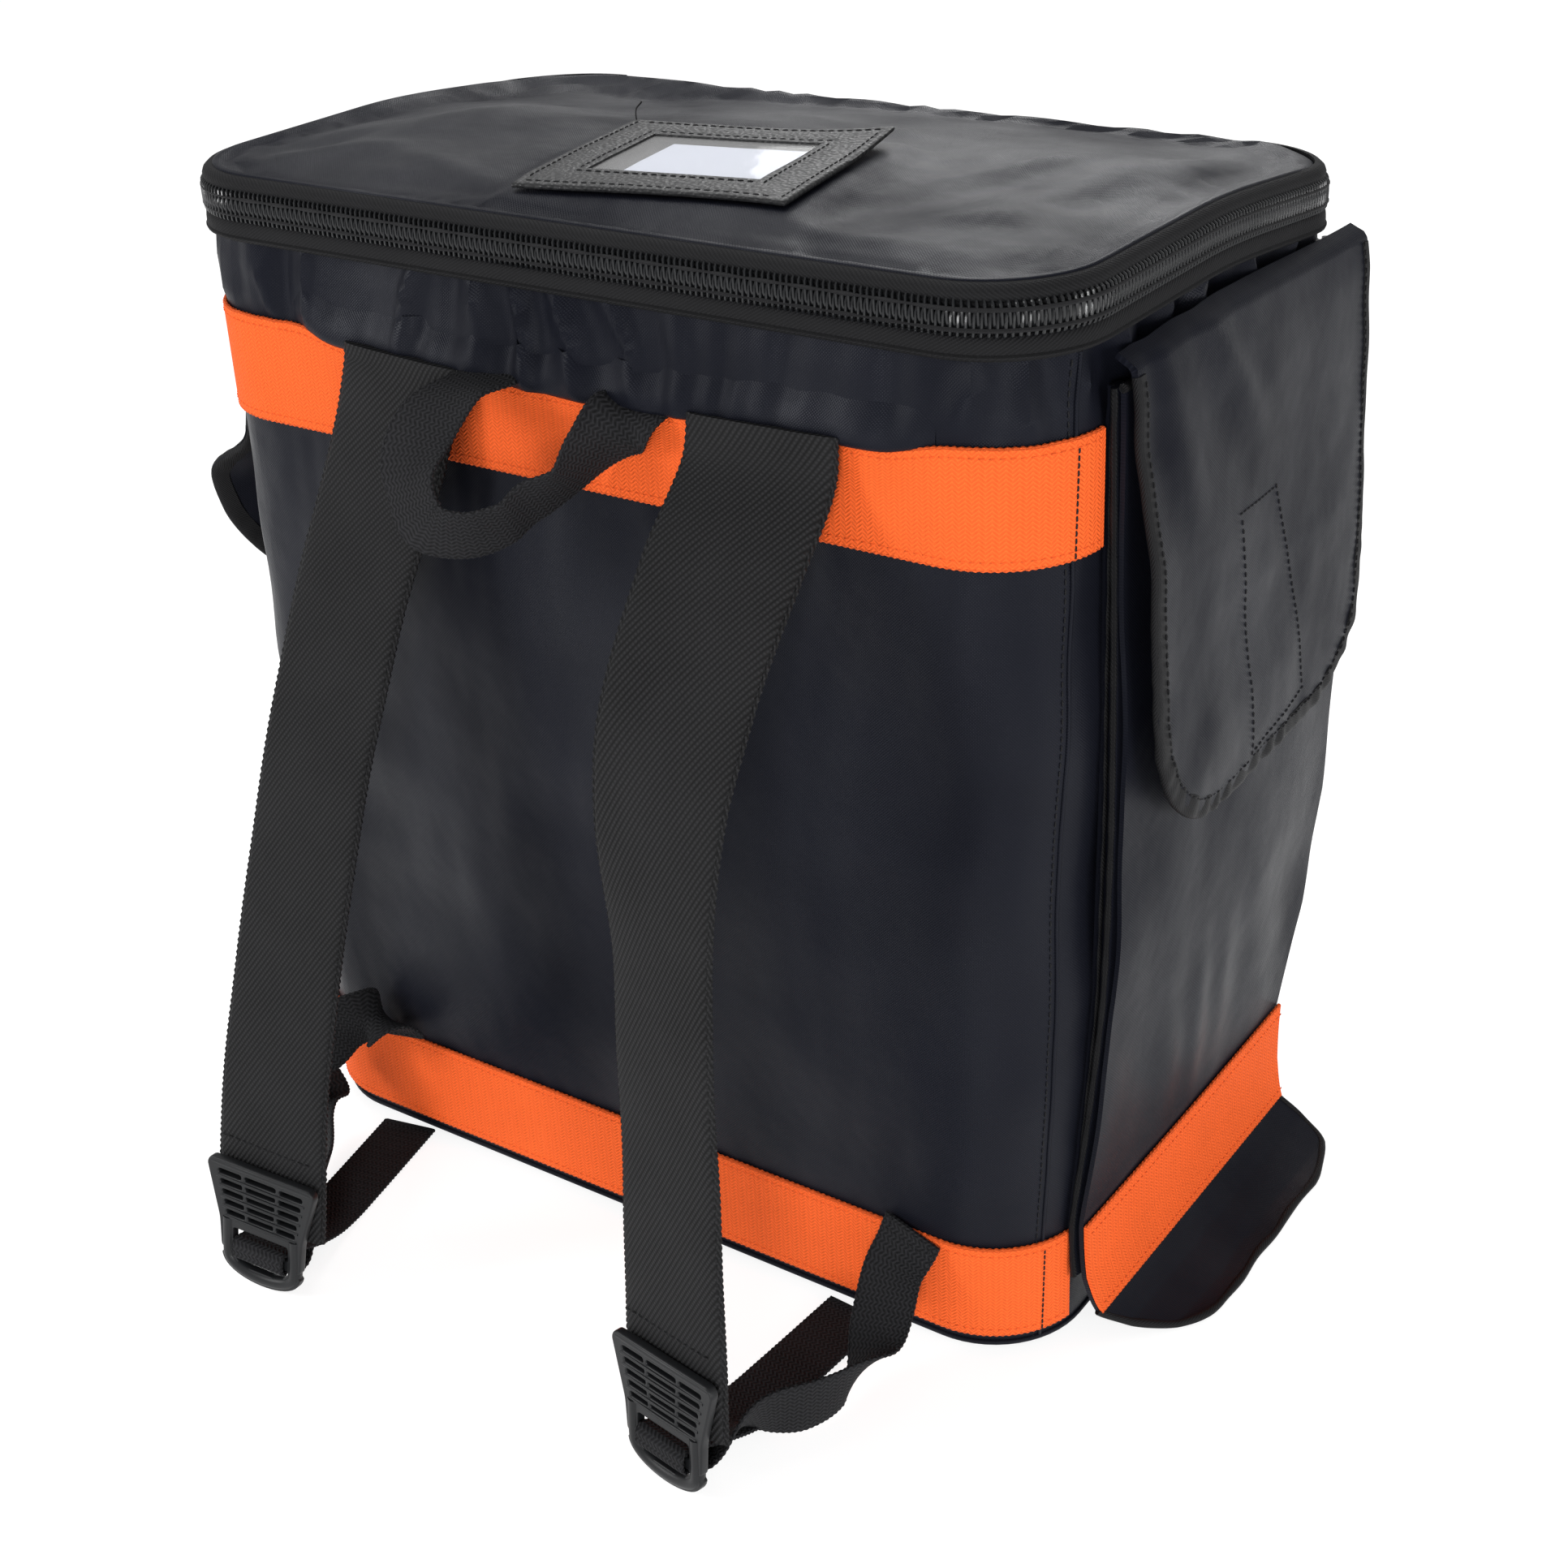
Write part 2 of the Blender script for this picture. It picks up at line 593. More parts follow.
def plate_mesh(name, outlines, depth, bevel, matrix):
    """A plate with holes and round edges, from outlines in its own plane, the first one outside.

    Gives its points in that plane, its faces, and its points moved into place."""
    curve = bpy.data.curves.new(name, "CURVE")
    curve.dimensions = "2D"
    curve.fill_mode = "BOTH"
    curve.extrude = depth / 2 - bevel
    curve.bevel_depth = bevel
    curve.bevel_resolution = 2
    curve.offset = -bevel
    for outline in outlines:
        spline = curve.splines.new("POLY")
        spline.points.add(len(outline) - 1)
        for point, (x, y) in zip(spline.points, outline):
            point.co = (x, y, 0, 1)
        spline.use_cyclic_u = True
    holder = bpy.data.objects.new(name + "_outline", curve)
    bpy.context.scene.collection.objects.link(holder)
    mesh = bpy.data.meshes.new_from_object(holder.evaluated_get(bpy.context.evaluated_depsgraph_get()))
    bpy.data.objects.remove(holder)
    points = np.array([v.co for v in mesh.vertices])
    faces = [list(p.vertices) for p in mesh.polygons]
    bpy.data.meshes.remove(mesh)
    return points, faces, moved(points, matrix)


def rounded(corners, radius, steps=4):
    """A polygon with its corners rounded, each by less than half of the sides that meet there."""
    points = []
    count = len(corners)
    for i, corner in enumerate(corners):
        here = np.array(corner, float)
        before, after = (np.array(corners[(i + k) % count], float) for k in (-1, 1))
        a, b = unit(before - here), unit(after - here)
        size = min(radius, 0.45 * np.linalg.norm(before - here), 0.45 * np.linalg.norm(after - here))
        for t in np.linspace(0, 1, steps + 1):
            points.append(here + a * size * (1 - t) ** 2 + b * size * t ** 2)
    return points


# The bag's outline

STEPS = {"corner": 14, "front": 40, "side": 44, "back": 110}


class Outline:
    """Stations round a rounded rectangle, anticlockwise from the middle of the front."""

    def __init__(self):
        rows, self.mark = [], {}

        def edge(name, nx, ny, count, start=-1.0, end=1.0):
            self.mark[name] = len(rows)
            rows.extend((nx, ny, start + (end - start) * i / count, False) for i in range(count))

        def turn(name, degrees):
            self.mark[name] = len(rows)
            for i in range(STEPS["corner"]):
                a = math.radians(degrees + 90 * i / STEPS["corner"])
                rows.append((math.cos(a), math.sin(a), degrees, True))

        edge("front", 0, 1, STEPS["front"] // 2, 0.0, 1.0)
        turn("front_left", 90)
        edge("left", -1, 0, STEPS["side"])
        turn("back_left", 180)
        edge("back", 0, -1, STEPS["back"])
        turn("back_right", 270)
        edge("right", 1, 0, STEPS["side"])
        turn("front_right", 0)
        edge("front_again", 0, 1, STEPS["front"] // 2, -1.0, 0.0)
        nx, ny, t, corner = (np.array(c) for c in zip(*rows))
        self.normal = np.stack([nx, ny], 1).astype(float)
        self.corner = corner.astype(bool)
        self.along = np.where(self.corner, 0.0, t)
        middle = np.radians(np.where(self.corner, t, 0.0) + 45)
        self.way = np.stack([np.sign(np.cos(middle)), np.sign(np.sin(middle))], 1)
        self.run = run_of(self.at(body_row(bag().band_top)))
        self.count = len(rows)

    def at(self, row, push=0.0):
        """Places on the outline of one section, pushed out along its normal."""
        half_x, half_y, r, back, side = row
        a, b, r = half_x + push, half_y + push, max(r + push, 0.5 * MM)
        nx, ny = self.normal.T
        swell = np.where(ny < -0.5, back, np.where(np.abs(nx) > 0.5, side, 0.0))
        out = swell * (1 - self.along ** 2) ** 1.2
        x = nx * (a + out) - ny * self.along * (a - r)
        y = ny * (b + out) + nx * self.along * (b - r)
        cx, cy = self.way.T * np.array([[a - r], [b - r]])
        return np.where(self.corner[:, None], np.stack([cx + r * nx, cy + r * ny], 1), np.stack([x, y], 1))

    def span(self, first, last, lead=0, tail=0):
        """Station numbers from one mark to another, going round."""
        a, b = self.mark[first] + lead, self.mark[last] + tail
        return np.arange(a, b + 1 if b >= a else b + self.count + 1) % self.count


# Body sections from the base up, as shares of the named sizes: height of the zip's height, half
# width, half depth, back swell, side swell.
BODY_SECTIONS = [
    (0.0, 0.965, 0.955, 0.0, 0.0),
    (0.0098, 0.984, 0.99, 0.0, 0.0),
    (0.0246, 0.987, 1.0, 0.0, 0.0),
    (0.123, 0.987, 1.0, 0.0, 0.0),
    (0.2, 0.993, 1.0, 0.5, 0.6),
    (0.36, 0.998, 1.0, 0.95, 1.0),
    (0.55, 1.0, 1.0, 1.0, 1.0),
    (0.7, 1.0, 1.0, 0.6, 0.6),
    (0.7985, 0.998, 1.0, 0.0, 0.0),
    (0.897, 0.998, 1.0, 0.0, 0.0),
    (0.915, 1.002, 1.008, 0.15, 0.0),
    (0.945, 1.0, 1.006, 0.1, 0.0),
    (0.985, 0.99, 0.986, 0.0, 0.0),
]


def body_row(z):
    b = bag()
    table = np.array(BODY_SECTIONS)
    row = [np.interp(z / b.zip_height, table[:, 0], table[:, k]) for k in range(1, 5)]
    return row[0] * b.width / 2, row[1] * b.depth / 2, b.corner, row[2] * b.back_bulge, row[3] * b.side_bulge


def hump(x, low, high, power=1.0):
    """0 outside low and high, 1 in the middle."""
    t = np.clip((np.asarray(x, float) - low) / (high - low), 0, 1)
    return np.sin(np.pi * t) ** power


def step_up(x, low, high):
    t = np.clip((np.asarray(x, float) - low) / (high - low), 0, 1)
    return t * t * (3 - 2 * t)


def sag(y, z):
    """The mouth and lid drop towards the front: nothing at the bands, all of it at the zip."""
    b = bag()
    low = b.band_top + b.band / 2
    share = np.clip((z - low) / (b.zip_height - low), 0, 1)
    return b.front_sag * share * step_up(y, -b.depth * 0.05, b.depth / 2)


def patches(points, size, seed=0.0):
    """Soft noise at each place of a plane, from -1 to 1."""
    values = [noise.noise(Vector((x / size + seed, y / size, 0))) for x, y in np.reshape(points, (-1, 2))]
    return np.reshape(values, np.shape(points)[:-1])


def creases(run, z):
    """How far the cloth stands off its smooth shape, with gathers under the zip and at the bands."""
    b = bag()
    top, low = b.band_top + b.band / 2, b.band_top - b.band / 2
    place = together(run, z)
    rise = np.clip((z - top) / (b.zip_height - top), 0, 1)
    drift = patches(place * [1, 0.45], 0.03, 3.0) * 0.012 + rise * 0.006 * np.sin(run / 0.029)
    uneven = 0.5 + 0.5 * patches(place * [1, 0.2], 0.05, 12.0) + 0.25 * np.sin(run / 0.061)
    lean = 0.9 * patches(place * [1, 0.2], 0.07, 21.0) * (z - top)
    broad = 1 - 2 * np.abs(np.sin((run + drift + lean) / 0.0088 + 0.9 * np.sin(run / 0.031))) ** 0.8
    fine = np.sin((run + drift * 0.6) / 0.0024 + 2.2 * np.sin(run / 0.017))
    gathers = broad * uneven + 0.3 * fine * np.exp(-(1 - rise) / 0.5) + 0.3 * fine * np.exp(-rise / 0.25)
    collar = hump(z, top - 1 * MM, b.zip_height - 4 * MM, 0.75) * gathers * b.pucker
    drawn = np.exp(-np.clip(low - z, 0, 1) / 0.026) * (z < low)
    drawn = drawn * (0.3 * fine + 0.7 * broad * uneven) * 1.4 * MM
    floor = b.band_bottom + b.band / 2
    hem = np.exp(-np.clip(z - floor, 0, 1) / 0.016) * (z > floor) * fine * uneven * 0.4 * MM
    loose = (patches(place, 0.09) * 2.4 + patches(place, 0.035, 7.0)
             + patches(place * [0.4, 1], 0.03, 17.0) * 1.4 + patches(place * [1, 0.3], 0.016, 31.0) * 0.5)
    return collar + drawn + hem + hump(z, floor, low, 0.5) * loose * MM


def body_surface(outline, z, push=0.0, creased=True):
    """The bag's own surface at one height: (places, outward normals)."""
    flat = outline.at(body_row(z), push)
    if creased:
        flat = flat + outline.normal * creases(outline.run, np.full(outline.count, z))[:, None]
    normals = np.column_stack([outline.normal, np.zeros(outline.count)])
    return np.column_stack([flat, z - sag(flat[:, 1], z)]), normals


def surface_path(outline, spots, push):
    """A path on the bag through (station, height) spots, with its normals."""
    path, out = [], []
    for station, z in spots:
        places, normals = body_surface(outline, z, push)
        low = int(station)
        t = station - low
        a, b = low % outline.count, (low + 1) % outline.count
        path.append(places[a] * (1 - t) + places[b] * t)
        out.append(unit(normals[a] * (1 - t) + normals[b] * t))
    return np.array(path), np.array(out)


# The upright seams at the wearer's side: where each corner starts, and the way round from there.
SEAM_CORNERS = (("back_right", 1), ("back_left", -1))


def seam_spots(outline, mark, way, heights, tall, beside=0.0):
    """(station, height) spots up a corner seam, which leans round the corner as it rises."""
    corner = STEPS["corner"]
    start = outline.mark[mark] + (0 if way > 0 else corner)
    share = 0.8 - 0.16 * (1 - heights / tall) - beside
    return [(start + way * corner * s, z) for s, z in zip(share, heights)]


# Pieces

def make_body():
    b, o = bag(), Outline()
    mouth = b.zip_height - 6 * MM
    heights = np.unique(np.concatenate([
        [0, 0.6 * MM, 1.6 * MM, 4 * MM], np.linspace(8 * MM, 0.05, 8), np.linspace(0.05, 0.325, 40),
        np.linspace(0.325, 0.365, 6), np.linspace(0.365, mouth, 16)]))
    outer = [body_surface(o, z)[0] for z in heights]
    inner = [body_surface(o, z, -b.wall, False)[0] for z in np.linspace(mouth, b.wall, 14)]
    shrink = [0.9, 0.7, 0.45, 0.2, 0.02]
    base = [outer[0] * np.array([s, s, 1]) for s in shrink[::-1]]
    floor = [inner[-1] * np.array([s, s, 1]) for s in shrink]
    rings = np.array(base + outer + inner + floor)
    down = np.concatenate([np.linspace(-0.15, -0.01, len(base)), heights,
                           mouth + np.linspace(0, mouth, len(inner)), np.linspace(0.8, 0.95, len(floor))])
    add_piece("body_cloth", rings, tube_faces(len(rings), o.count), together(o.run[None, :], down[:, None]),
              "cloth", ["body_shell"])
    # Corner seams, each a narrow piped ridge with a row of stitches beside it
    seams, piping = [], []
    upright = np.linspace(2 * MM, mouth - 8 * MM, 150)
    for mark, way in SEAM_CORNERS:
        piping.append(surface_path(o, seam_spots(o, mark, way, upright, mouth), 0.2 * MM)[0])
        seams.append(surface_path(o, seam_spots(o, mark, way, upright, mouth, 0.045), 0.25 * MM))
    cord_piece("corner_piping", piping, 0.75 * MM, "cloth")
    stitch_line("corner_stitches", seams)
    # Raised hem of the base panel
    rim, _ = body_surface(o, 4 * MM, 0.1 * MM, False)
    loop = np.vstack([rim, rim[:1]])
    cord_piece("base_piping", [loop], 1.1 * MM, "cloth")


# Gap between the bag's cloth and a band sewn on it.
BAND_GAP = 0.35 * MM
# Across the back, as shares of the half width: where the pull of the straps and loop begins at the
# left, for the band and for the fold over it, and where it ends at the right.
BAND_PULL_LEFT = (-0.68, -0.54)
FOLD_PULL_LEFT = (-0.72, -0.58)
PULL_RIGHT = (0.68, 0.84)
# The fold over the upper band: height over the band and push off the bag, both in millimetres.
COLLAR_FOLD = [(17, -0.8), (12, 1.3), (7.5, 3.3), (4.2, 4.5), (2.0, 4.7), (0.8, 3.9), (0.1, 2.2), (0, 0.2)]


def pulled(share, left, right):
    """1 between the places where a pull begins and ends, 0 outside them."""
    return step_up(share, *left) * (1 - step_up(share, *right))


def drawn_down(x, y):
    """How far the straps and loop draw the upper band's top edge down, across the back."""
    b = bag()
    share = x / half_width()
    reach = pulled(share, BAND_PULL_LEFT, PULL_RIGHT)
    return (y < -0.4 * b.depth) * (5.0 * MM * reach + 2.6 * MM * hump(share, -0.42, 0.45))


def make_collar_fold():
    """Cloth that bulges over the seam where the straps and the loop are sewn in."""
    b, o = bag(), Outline()
    stations = o.span("back", "back_right")
    top = b.band_top + b.band / 2
    rows = []
    for rise, push in COLLAR_FOLD:
        place, normals = (part[stations] for part in body_surface(o, top + rise * MM))
        full = pulled(place[:, 0] / half_width(), FOLD_PULL_LEFT, PULL_RIGHT)
        uneven = 1 + 0.22 * patches(place[:, :1] * [1, 0] + [0, rise * MM], 0.02, 41.0)
        place = place + normals * ((push * uneven + 1.2) * full - 1.2)[:, None] * MM
        place[:, 2] -= drawn_down(place[:, 0], place[:, 1])
        rows.append(place)
    thick_sheet("collar_fold", rows, sheet_uv(rows), 0.8 * MM, "cloth", outward=(0, -1, 0))


def band_pieces(name, outline, stations, middle, nodes):
    """One orange band that follows the bag, with corded edges and a row of stitches near each."""
    b = bag()
    across = np.linspace(-b.band / 2, b.band / 2, 13)
    off = BAND_GAP + b.band_thickness / 2

    def level(h, push):
        places, normals = body_surface(outline, middle + h, push)
        if middle == b.band_top:
            places[:, 2] -= drawn_down(places[:, 0], places[:, 1]) * step_up(h, -b.band * 0.1, b.band / 2)
        return places[stations], normals[stations]

    grid = np.array([level(h, off)[0] for h in across])
    uv = together(run_of(grid[len(grid) // 2])[None, :], across[:, None])
    out = body_surface(outline, middle, off)[1][stations]
    thick_sheet(name, grid, uv, b.band_thickness, "orange", nodes, outward=out[None])
    whipped(name + "_edges", [grid[0], grid[-1]], "orange_edge")
    lines = [level(h, BAND_GAP + b.band_thickness) for h in (-b.band / 2 + 2.6 * MM, b.band / 2 - 2.6 * MM)]
    stitch_line(name + "_stitches", lines, "orange_edge", radius=0.26 * MM)


def make_bands():
    b, o = bag(), Outline()
    for name, middle, inset in (("top_band", b.band_top, 0), ("bottom_band", b.band_bottom, 2)):
        back = o.span("back_left", "right", inset, -inset)
        band_pieces(name + "_back", o, back, middle, [name])
        lead = STEPS["corner"] - 4
        front = o.span("front_right", "left", lead, -lead)
        band_pieces(name + "_front_side", o, front, middle, [name + "_front"])
    make_collar_fold()
    # Black bar tack where each band is sewn down at the corner seam
    lines = []
    for middle in (b.band_top, b.band_bottom):
        heights = np.linspace(middle - b.band / 2 + 1 * MM, middle + b.band / 2 - 1 * MM, 16)
        for mark, way in SEAM_CORNERS:
            spots = seam_spots(o, mark, way, heights, b.zip_height)
            lines.append(surface_path(o, spots, BAND_GAP + b.band_thickness + 0.1 * MM))
    stitch_line("band_tacks", lines, stitch=2.2 * MM, gap=0.2 * MM, radius=0.36 * MM)


# Lid

# How far the lid's cloth ends inside the bag's outline.
LID_INSET = 1.6 * MM


def rim_distance(x, y):
    """How far inside the lid's rim a place is."""
    b = bag()
    qx = np.abs(x) - (b.width / 2 - LID_INSET - b.corner)
    qy = np.abs(y) - (b.depth / 2 - LID_INSET - b.corner)
    outside = np.hypot(np.maximum(qx, 0), np.maximum(qy, 0))
    return b.corner - outside - np.minimum(np.maximum(qx, qy), 0)


# Soft folds of the lid: place as shares of the half sizes, turn in degrees, length and width as
# shares of the half width, and lift as a share of the lid's rise.
LID_FOLDS = [
    (-0.75, 0.75, 0, 0.45, 0.3, -0.45), (0.74, -0.1, 74, 0.42, 0.07, 0.17),
    (-0.66, -0.1, 66, 0.4, 0.06, 0.12), (-0.62, -0.2, 35, 0.35, 0.12, 0.2),
    (-0.55, 0.35, -20, 0.3, 0.1, -0.16), (0.55, -0.35, 60, 0.3, 0.12, -0.24),
    (0.72, 0.2, 10, 0.3, 0.14, 0.2), (0.3, 0.6, -8, 0.5, 0.12, 0.16),
    (-0.8, -0.55, 62, 0.13, 0.036, -0.2), (-0.72, -0.62, 40, 0.12, 0.036, 0.16),
    (-0.3, -0.78, 6, 0.3, 0.036, -0.12), (0.42, -0.72, -8, 0.25, 0.036, 0.14),
    (0.66, -0.6, 28, 0.2, 0.045, -0.12), (0.74, -0.4, 44, 0.2, 0.05, 0.1),
    (0.82, -0.05, 78, 0.2, 0.04, -0.12), (0.86, 0.3, 95, 0.15, 0.036, 0.16),
    (0.6, 0.05, 58, 0.2, 0.03, 0.14), (0.34, -0.5, 22, 0.22, 0.036, -0.1),
    (0.2, -0.85, -4, 0.2, 0.036, 0.1), (-0.5, -0.62, -14, 0.2, 0.036, 0.12),
    (0.9, -0.62, 60, 0.1, 0.036, 0.16), (-0.15, 0.1, 15, 0.4, 0.05, -0.08),
    (0.1, 0.42, -12, 0.3, 0.03, 0.08),
]
# Folds narrower than this share are kept away from the label holder.
NARROW_FOLD = 0.06


def lid_height(x, y):
    """Height of the lid's cloth, without the drop at the front."""
    b = bag()
    x, y = np.asarray(x, float), np.asarray(y, float)
    d = rim_distance(x, y)
    profile = np.interp(d, np.array([0, 2, 5, 9, 14, 28, 56, 90, 140]) * MM,
                        np.array([0.5, 0.55, 0.36, 0.42, 0.66, 0.84, 0.95, 1.0, 1.01]))
    front = np.interp(d, np.array([0, 4, 10, 20, 40, 70]) * MM, np.array([0.34, 0.55, 0.7, 0.83, 0.93, 0.98]))
    profile += (front - profile) * step_up(y, 0.25 * b.depth, 0.45 * b.depth) * (d < 70 * MM)
    z = b.zip_height + 5.3 * MM + profile * b.lid_rise
    calm = 1 - 0.93 * label_cover(x, y)
    for fx, fy, turn, long, wide, lift in LID_FOLDS:
        c, s = math.cos(math.radians(turn)), math.sin(math.radians(turn))
        dx, dy = x - fx * b.width / 2, y - fy * b.depth / 2
        along = (dx * c + dy * s) / (long * b.width / 2)
        over = (dy * c - dx * s) / (wide * b.width / 2)
        soft = calm if wide < NARROW_FOLD else 1.0
        z = z + lift * b.lid_rise * np.exp(-along ** 2 - over ** 2) * step_up(d, 3 * MM, 14 * MM) * soft
    flat = np.stack([x, y], -1)
    uneven = (patches(flat, 0.05, 3.0) * 1.5 + patches(flat, 0.02, 9.0) * 0.4) * MM
    z = z + uneven * step_up(d, 4 * MM, 20 * MM) * calm
    edge = np.exp(-(np.clip(d - 4 * MM, 0, 1) / (9 * MM))) * step_up(d, 1 * MM, 5 * MM)
    angle = np.arctan2(y, x)
    return z + edge * 0.5 * MM * np.sin(angle * 37 + 3 * np.sin(angle * 9))


def make_lid():
    """The lid swells a little under pressure from its padding, held all round by its rim."""
    b, o = bag(), Outline()
    scale = np.concatenate([[1.0, 0.994, 0.986, 0.975, 0.96, 0.94], np.linspace(0.91, 0.03, 34)])
    rim = o.at((b.width / 2 - LID_INSET, b.depth / 2 - LID_INSET, b.corner, 0, 0))
    flat = rim[None] * scale[:, None, None]
    z = lid_height(flat[..., 0], flat[..., 1])
    z = z - sag(flat[..., 1], np.full(z.shape, b.zip_height))
    top = np.concatenate([flat, z[..., None]], -1)
    count = o.count
    faces = grid_faces(len(scale), count, wrap=True)
    faces.append([(len(scale) - 1) * count + k for k in range(count)])
    piece = add_piece("lid_cloth", top, faces, flat, "lid", ["lid_panel"])
    settle_lid(piece, count)
    thick = piece.modifiers.new("padding", "SOLIDIFY")
    thick.thickness = b.wall
    thick.offset = -1


# Rings of the lid's mesh, from its rim inwards, that the cloth simulation holds still.
HELD_RINGS = 5


def settle_lid(piece, rim_count):
    """Lets the lid's cloth settle as cloth, then keeps each point within a short reach of its shape."""
    mesh = piece.data
    held = piece.vertex_groups.new(name="held")
    held.add(list(range(rim_count * HELD_RINGS)), 1.0, "REPLACE")
    before = np.array([v.co[:] for v in mesh.vertices])
    cloth = piece.modifiers.new("cloth", "CLOTH")
    setting = cloth.settings
    setting.vertex_group_mass = "held"
    setting.quality = 5
    setting.mass = 0.2
    setting.use_pressure = True
    setting.uniform_pressure_force = 0.6
    setting.shrink_min = -0.012
    setting.tension_stiffness = 25
    setting.compression_stiffness = 8
    setting.shear_stiffness = 8
    setting.bending_stiffness = 0.35
    setting.effector_weights.gravity = 0.15
    scene = bpy.context.scene
    for number in range(1, 19):
        scene.frame_set(number)
    settled = piece.evaluated_get(bpy.context.evaluated_depsgraph_get())
    after = np.array([v.co[:] for v in settled.data.vertices])
    piece.modifiers.remove(cloth)
    scene.frame_set(1)
    move = after - before
    reach = 0.3 * MM + 3.2 * MM * (1 - label_cover(before[:, :1], before[:, 1:2]))
    far = np.linalg.norm(move, axis=1, keepdims=True)
    move *= np.minimum(1, reach / np.maximum(far, 1e-9))
    mesh.vertices.foreach_set("co", (before + move).ravel())
    mesh.update()


# Zip

def zip_path(outline, push, height):
    stations = outline.span("front_left", "front_again")
    b = bag()
    flat = outline.at((b.width / 2, b.depth / 2, b.corner, 0, 0), push)[stations]
    z = height - sag(flat[:, 1], b.zip_height)
    out = np.column_stack([outline.normal[stations], np.zeros(len(stations))])
    return np.column_stack([flat, z]), out


def tooth(way):
    """One turn of the coil on one side of the chain, as a bent rod: x along, y out, z up."""
    half = bag().chain / 2
    line = np.array([(-0.6, -0.2, 0.86), (-0.45, 1.0, 1.0), (-0.15, 1.9, 0.86), (0.1, 2.2, 0.45),
                     (0.2, 2.2, -0.1), (0.3, 1.5, -0.36), (0.3, 0.6, -0.32)])
    path = np.stack([line[:, 0] * MM, line[:, 1] * MM, line[:, 2] * half * way], 1)
    rings, _ = tube_rings(path, 0.6 * MM * np.array([0.85, 1, 1, 1, 1.1, 1.1, 0.8]), 6)
    return rings.reshape(-1, 3), tube_faces(len(path), 6)


def make_zip():
    b, o = bag(), Outline()
    middle, out = zip_path(o, 0.5 * MM, b.zip_height)
    for name, way, first in (("zip_coil_upper", 1, 0), ("zip_coil_lower", -1, 1)):
        at, normal = resample(middle, b.tooth_pitch / 2, out)
        keep = slice(first, None, 2)
        along = unit(np.gradient(at, axis=0))
        normal = unit(normal - along * np.sum(normal * along, 1, keepdims=True))
        up = np.cross(along, normal)
        up = up * np.sign(up[:, 2:3])
        places = list(zip(at[keep], along[keep], normal[keep], up[keep]))
        points, faces = tooth(way)
        scatter(name, points, faces, places, "coil", ["zip_chain"] if way > 0 else ())
    # Core cords and the sewing thread that hold the coil to its tapes
    lines = [zip_path(o, 2.9 * MM, b.zip_height + share * b.chain / 2)[0] for share in (0.56, -0.56)]
    cord_piece("zip_core", lines,
               lambda run: 0.62 * MM * (1 + 0.3 * np.sin(2 * math.pi * run / b.tooth_pitch)),
               "thread", sides=6)
    backing = [zip_path(o, push, b.zip_height + share * b.chain / 2)[0]
               for share, push in ((-1.02, 0.0), (-0.5, 0.5 * MM), (0.5, 0.5 * MM), (1.02, 0.0))]
    thick_sheet("zip_backing", backing, sheet_uv(backing), 0.5 * MM, "tape")
    # Lower tape: rolls out over the collar, with a corded hem
    under = b.zip_height - b.chain / 2
    tape = [zip_path(o, push * MM, under + z * MM)[0]
            for push, z in ((0.2, 0.6), (1.5, -0.4), (2.1, -1.6), (2.3, -3.2), (2.4, -5.0), (2.0, -6.6),
                            (1.0, -7.4))]
    thick_sheet("zip_lower_tape", tape, sheet_uv(tape), 1.0 * MM, "tape", ["zip_tape_lower"])
    hem, _ = zip_path(o, 2.1 * MM, under - 6.0 * MM)
    cord_piece("zip_tape_hem", [hem], 1.2 * MM, "tape")
    # Upper tape and the thick rolled rim of the lid
    over = b.zip_height + b.chain / 2
    upper = [zip_path(o, push * MM, over + z * MM)[0]
             for push, z in ((0.2, -0.6), (1.3, 0.4), (1.5, 1.4), (1.0, 2.8), (-0.4, 4.0), (-2.4, 4.3))]
    thick_sheet("zip_upper_tape", upper, sheet_uv(upper), 1.0 * MM, "tape", ["zip_tape_upper"])
    rim, _ = zip_path(o, -0.7 * MM, over + 2.4 * MM)
    cord_piece("lid_rim", [rim], 1.9 * MM, "tape", sides=10)
    make_hinge()
    place = Matrix(((0, 0, -1, -(b.width / 2 + 3.0 * MM)), (1, 0, 0, -0.02), (0, -1, 0, b.zip_height),
                    (0, 0, 0, 1)))
    make_slider("zip_slider_left", place, ["zip_slider"])


def make_hinge():
    """Cloth that joins the lid to the bag across the front."""
    b = bag()
    x = np.linspace(-1, 1, 60) * (b.width / 2 - b.corner)
    low, high = b.zip_height - 17.5 * MM, b.zip_height + 6.8 * MM
    rows = []
    for t in np.linspace(0, 1, 12):
        z = high + (low - high) * t
        ripple = 0.35 * MM * np.sin(x / 0.006 + 3 * t)
        y = b.depth / 2 + (2.0 - 1.4 * math.sin(math.pi * t) ** 2) * MM + ripple
        rows.append(together(x, y, z - sag(y, b.zip_height)))
    thick_sheet("lid_hinge_cloth", rows, sheet_uv(rows), 1.0 * MM, "cloth", ["lid_hinge"],
                outward=(0, 1, 0))


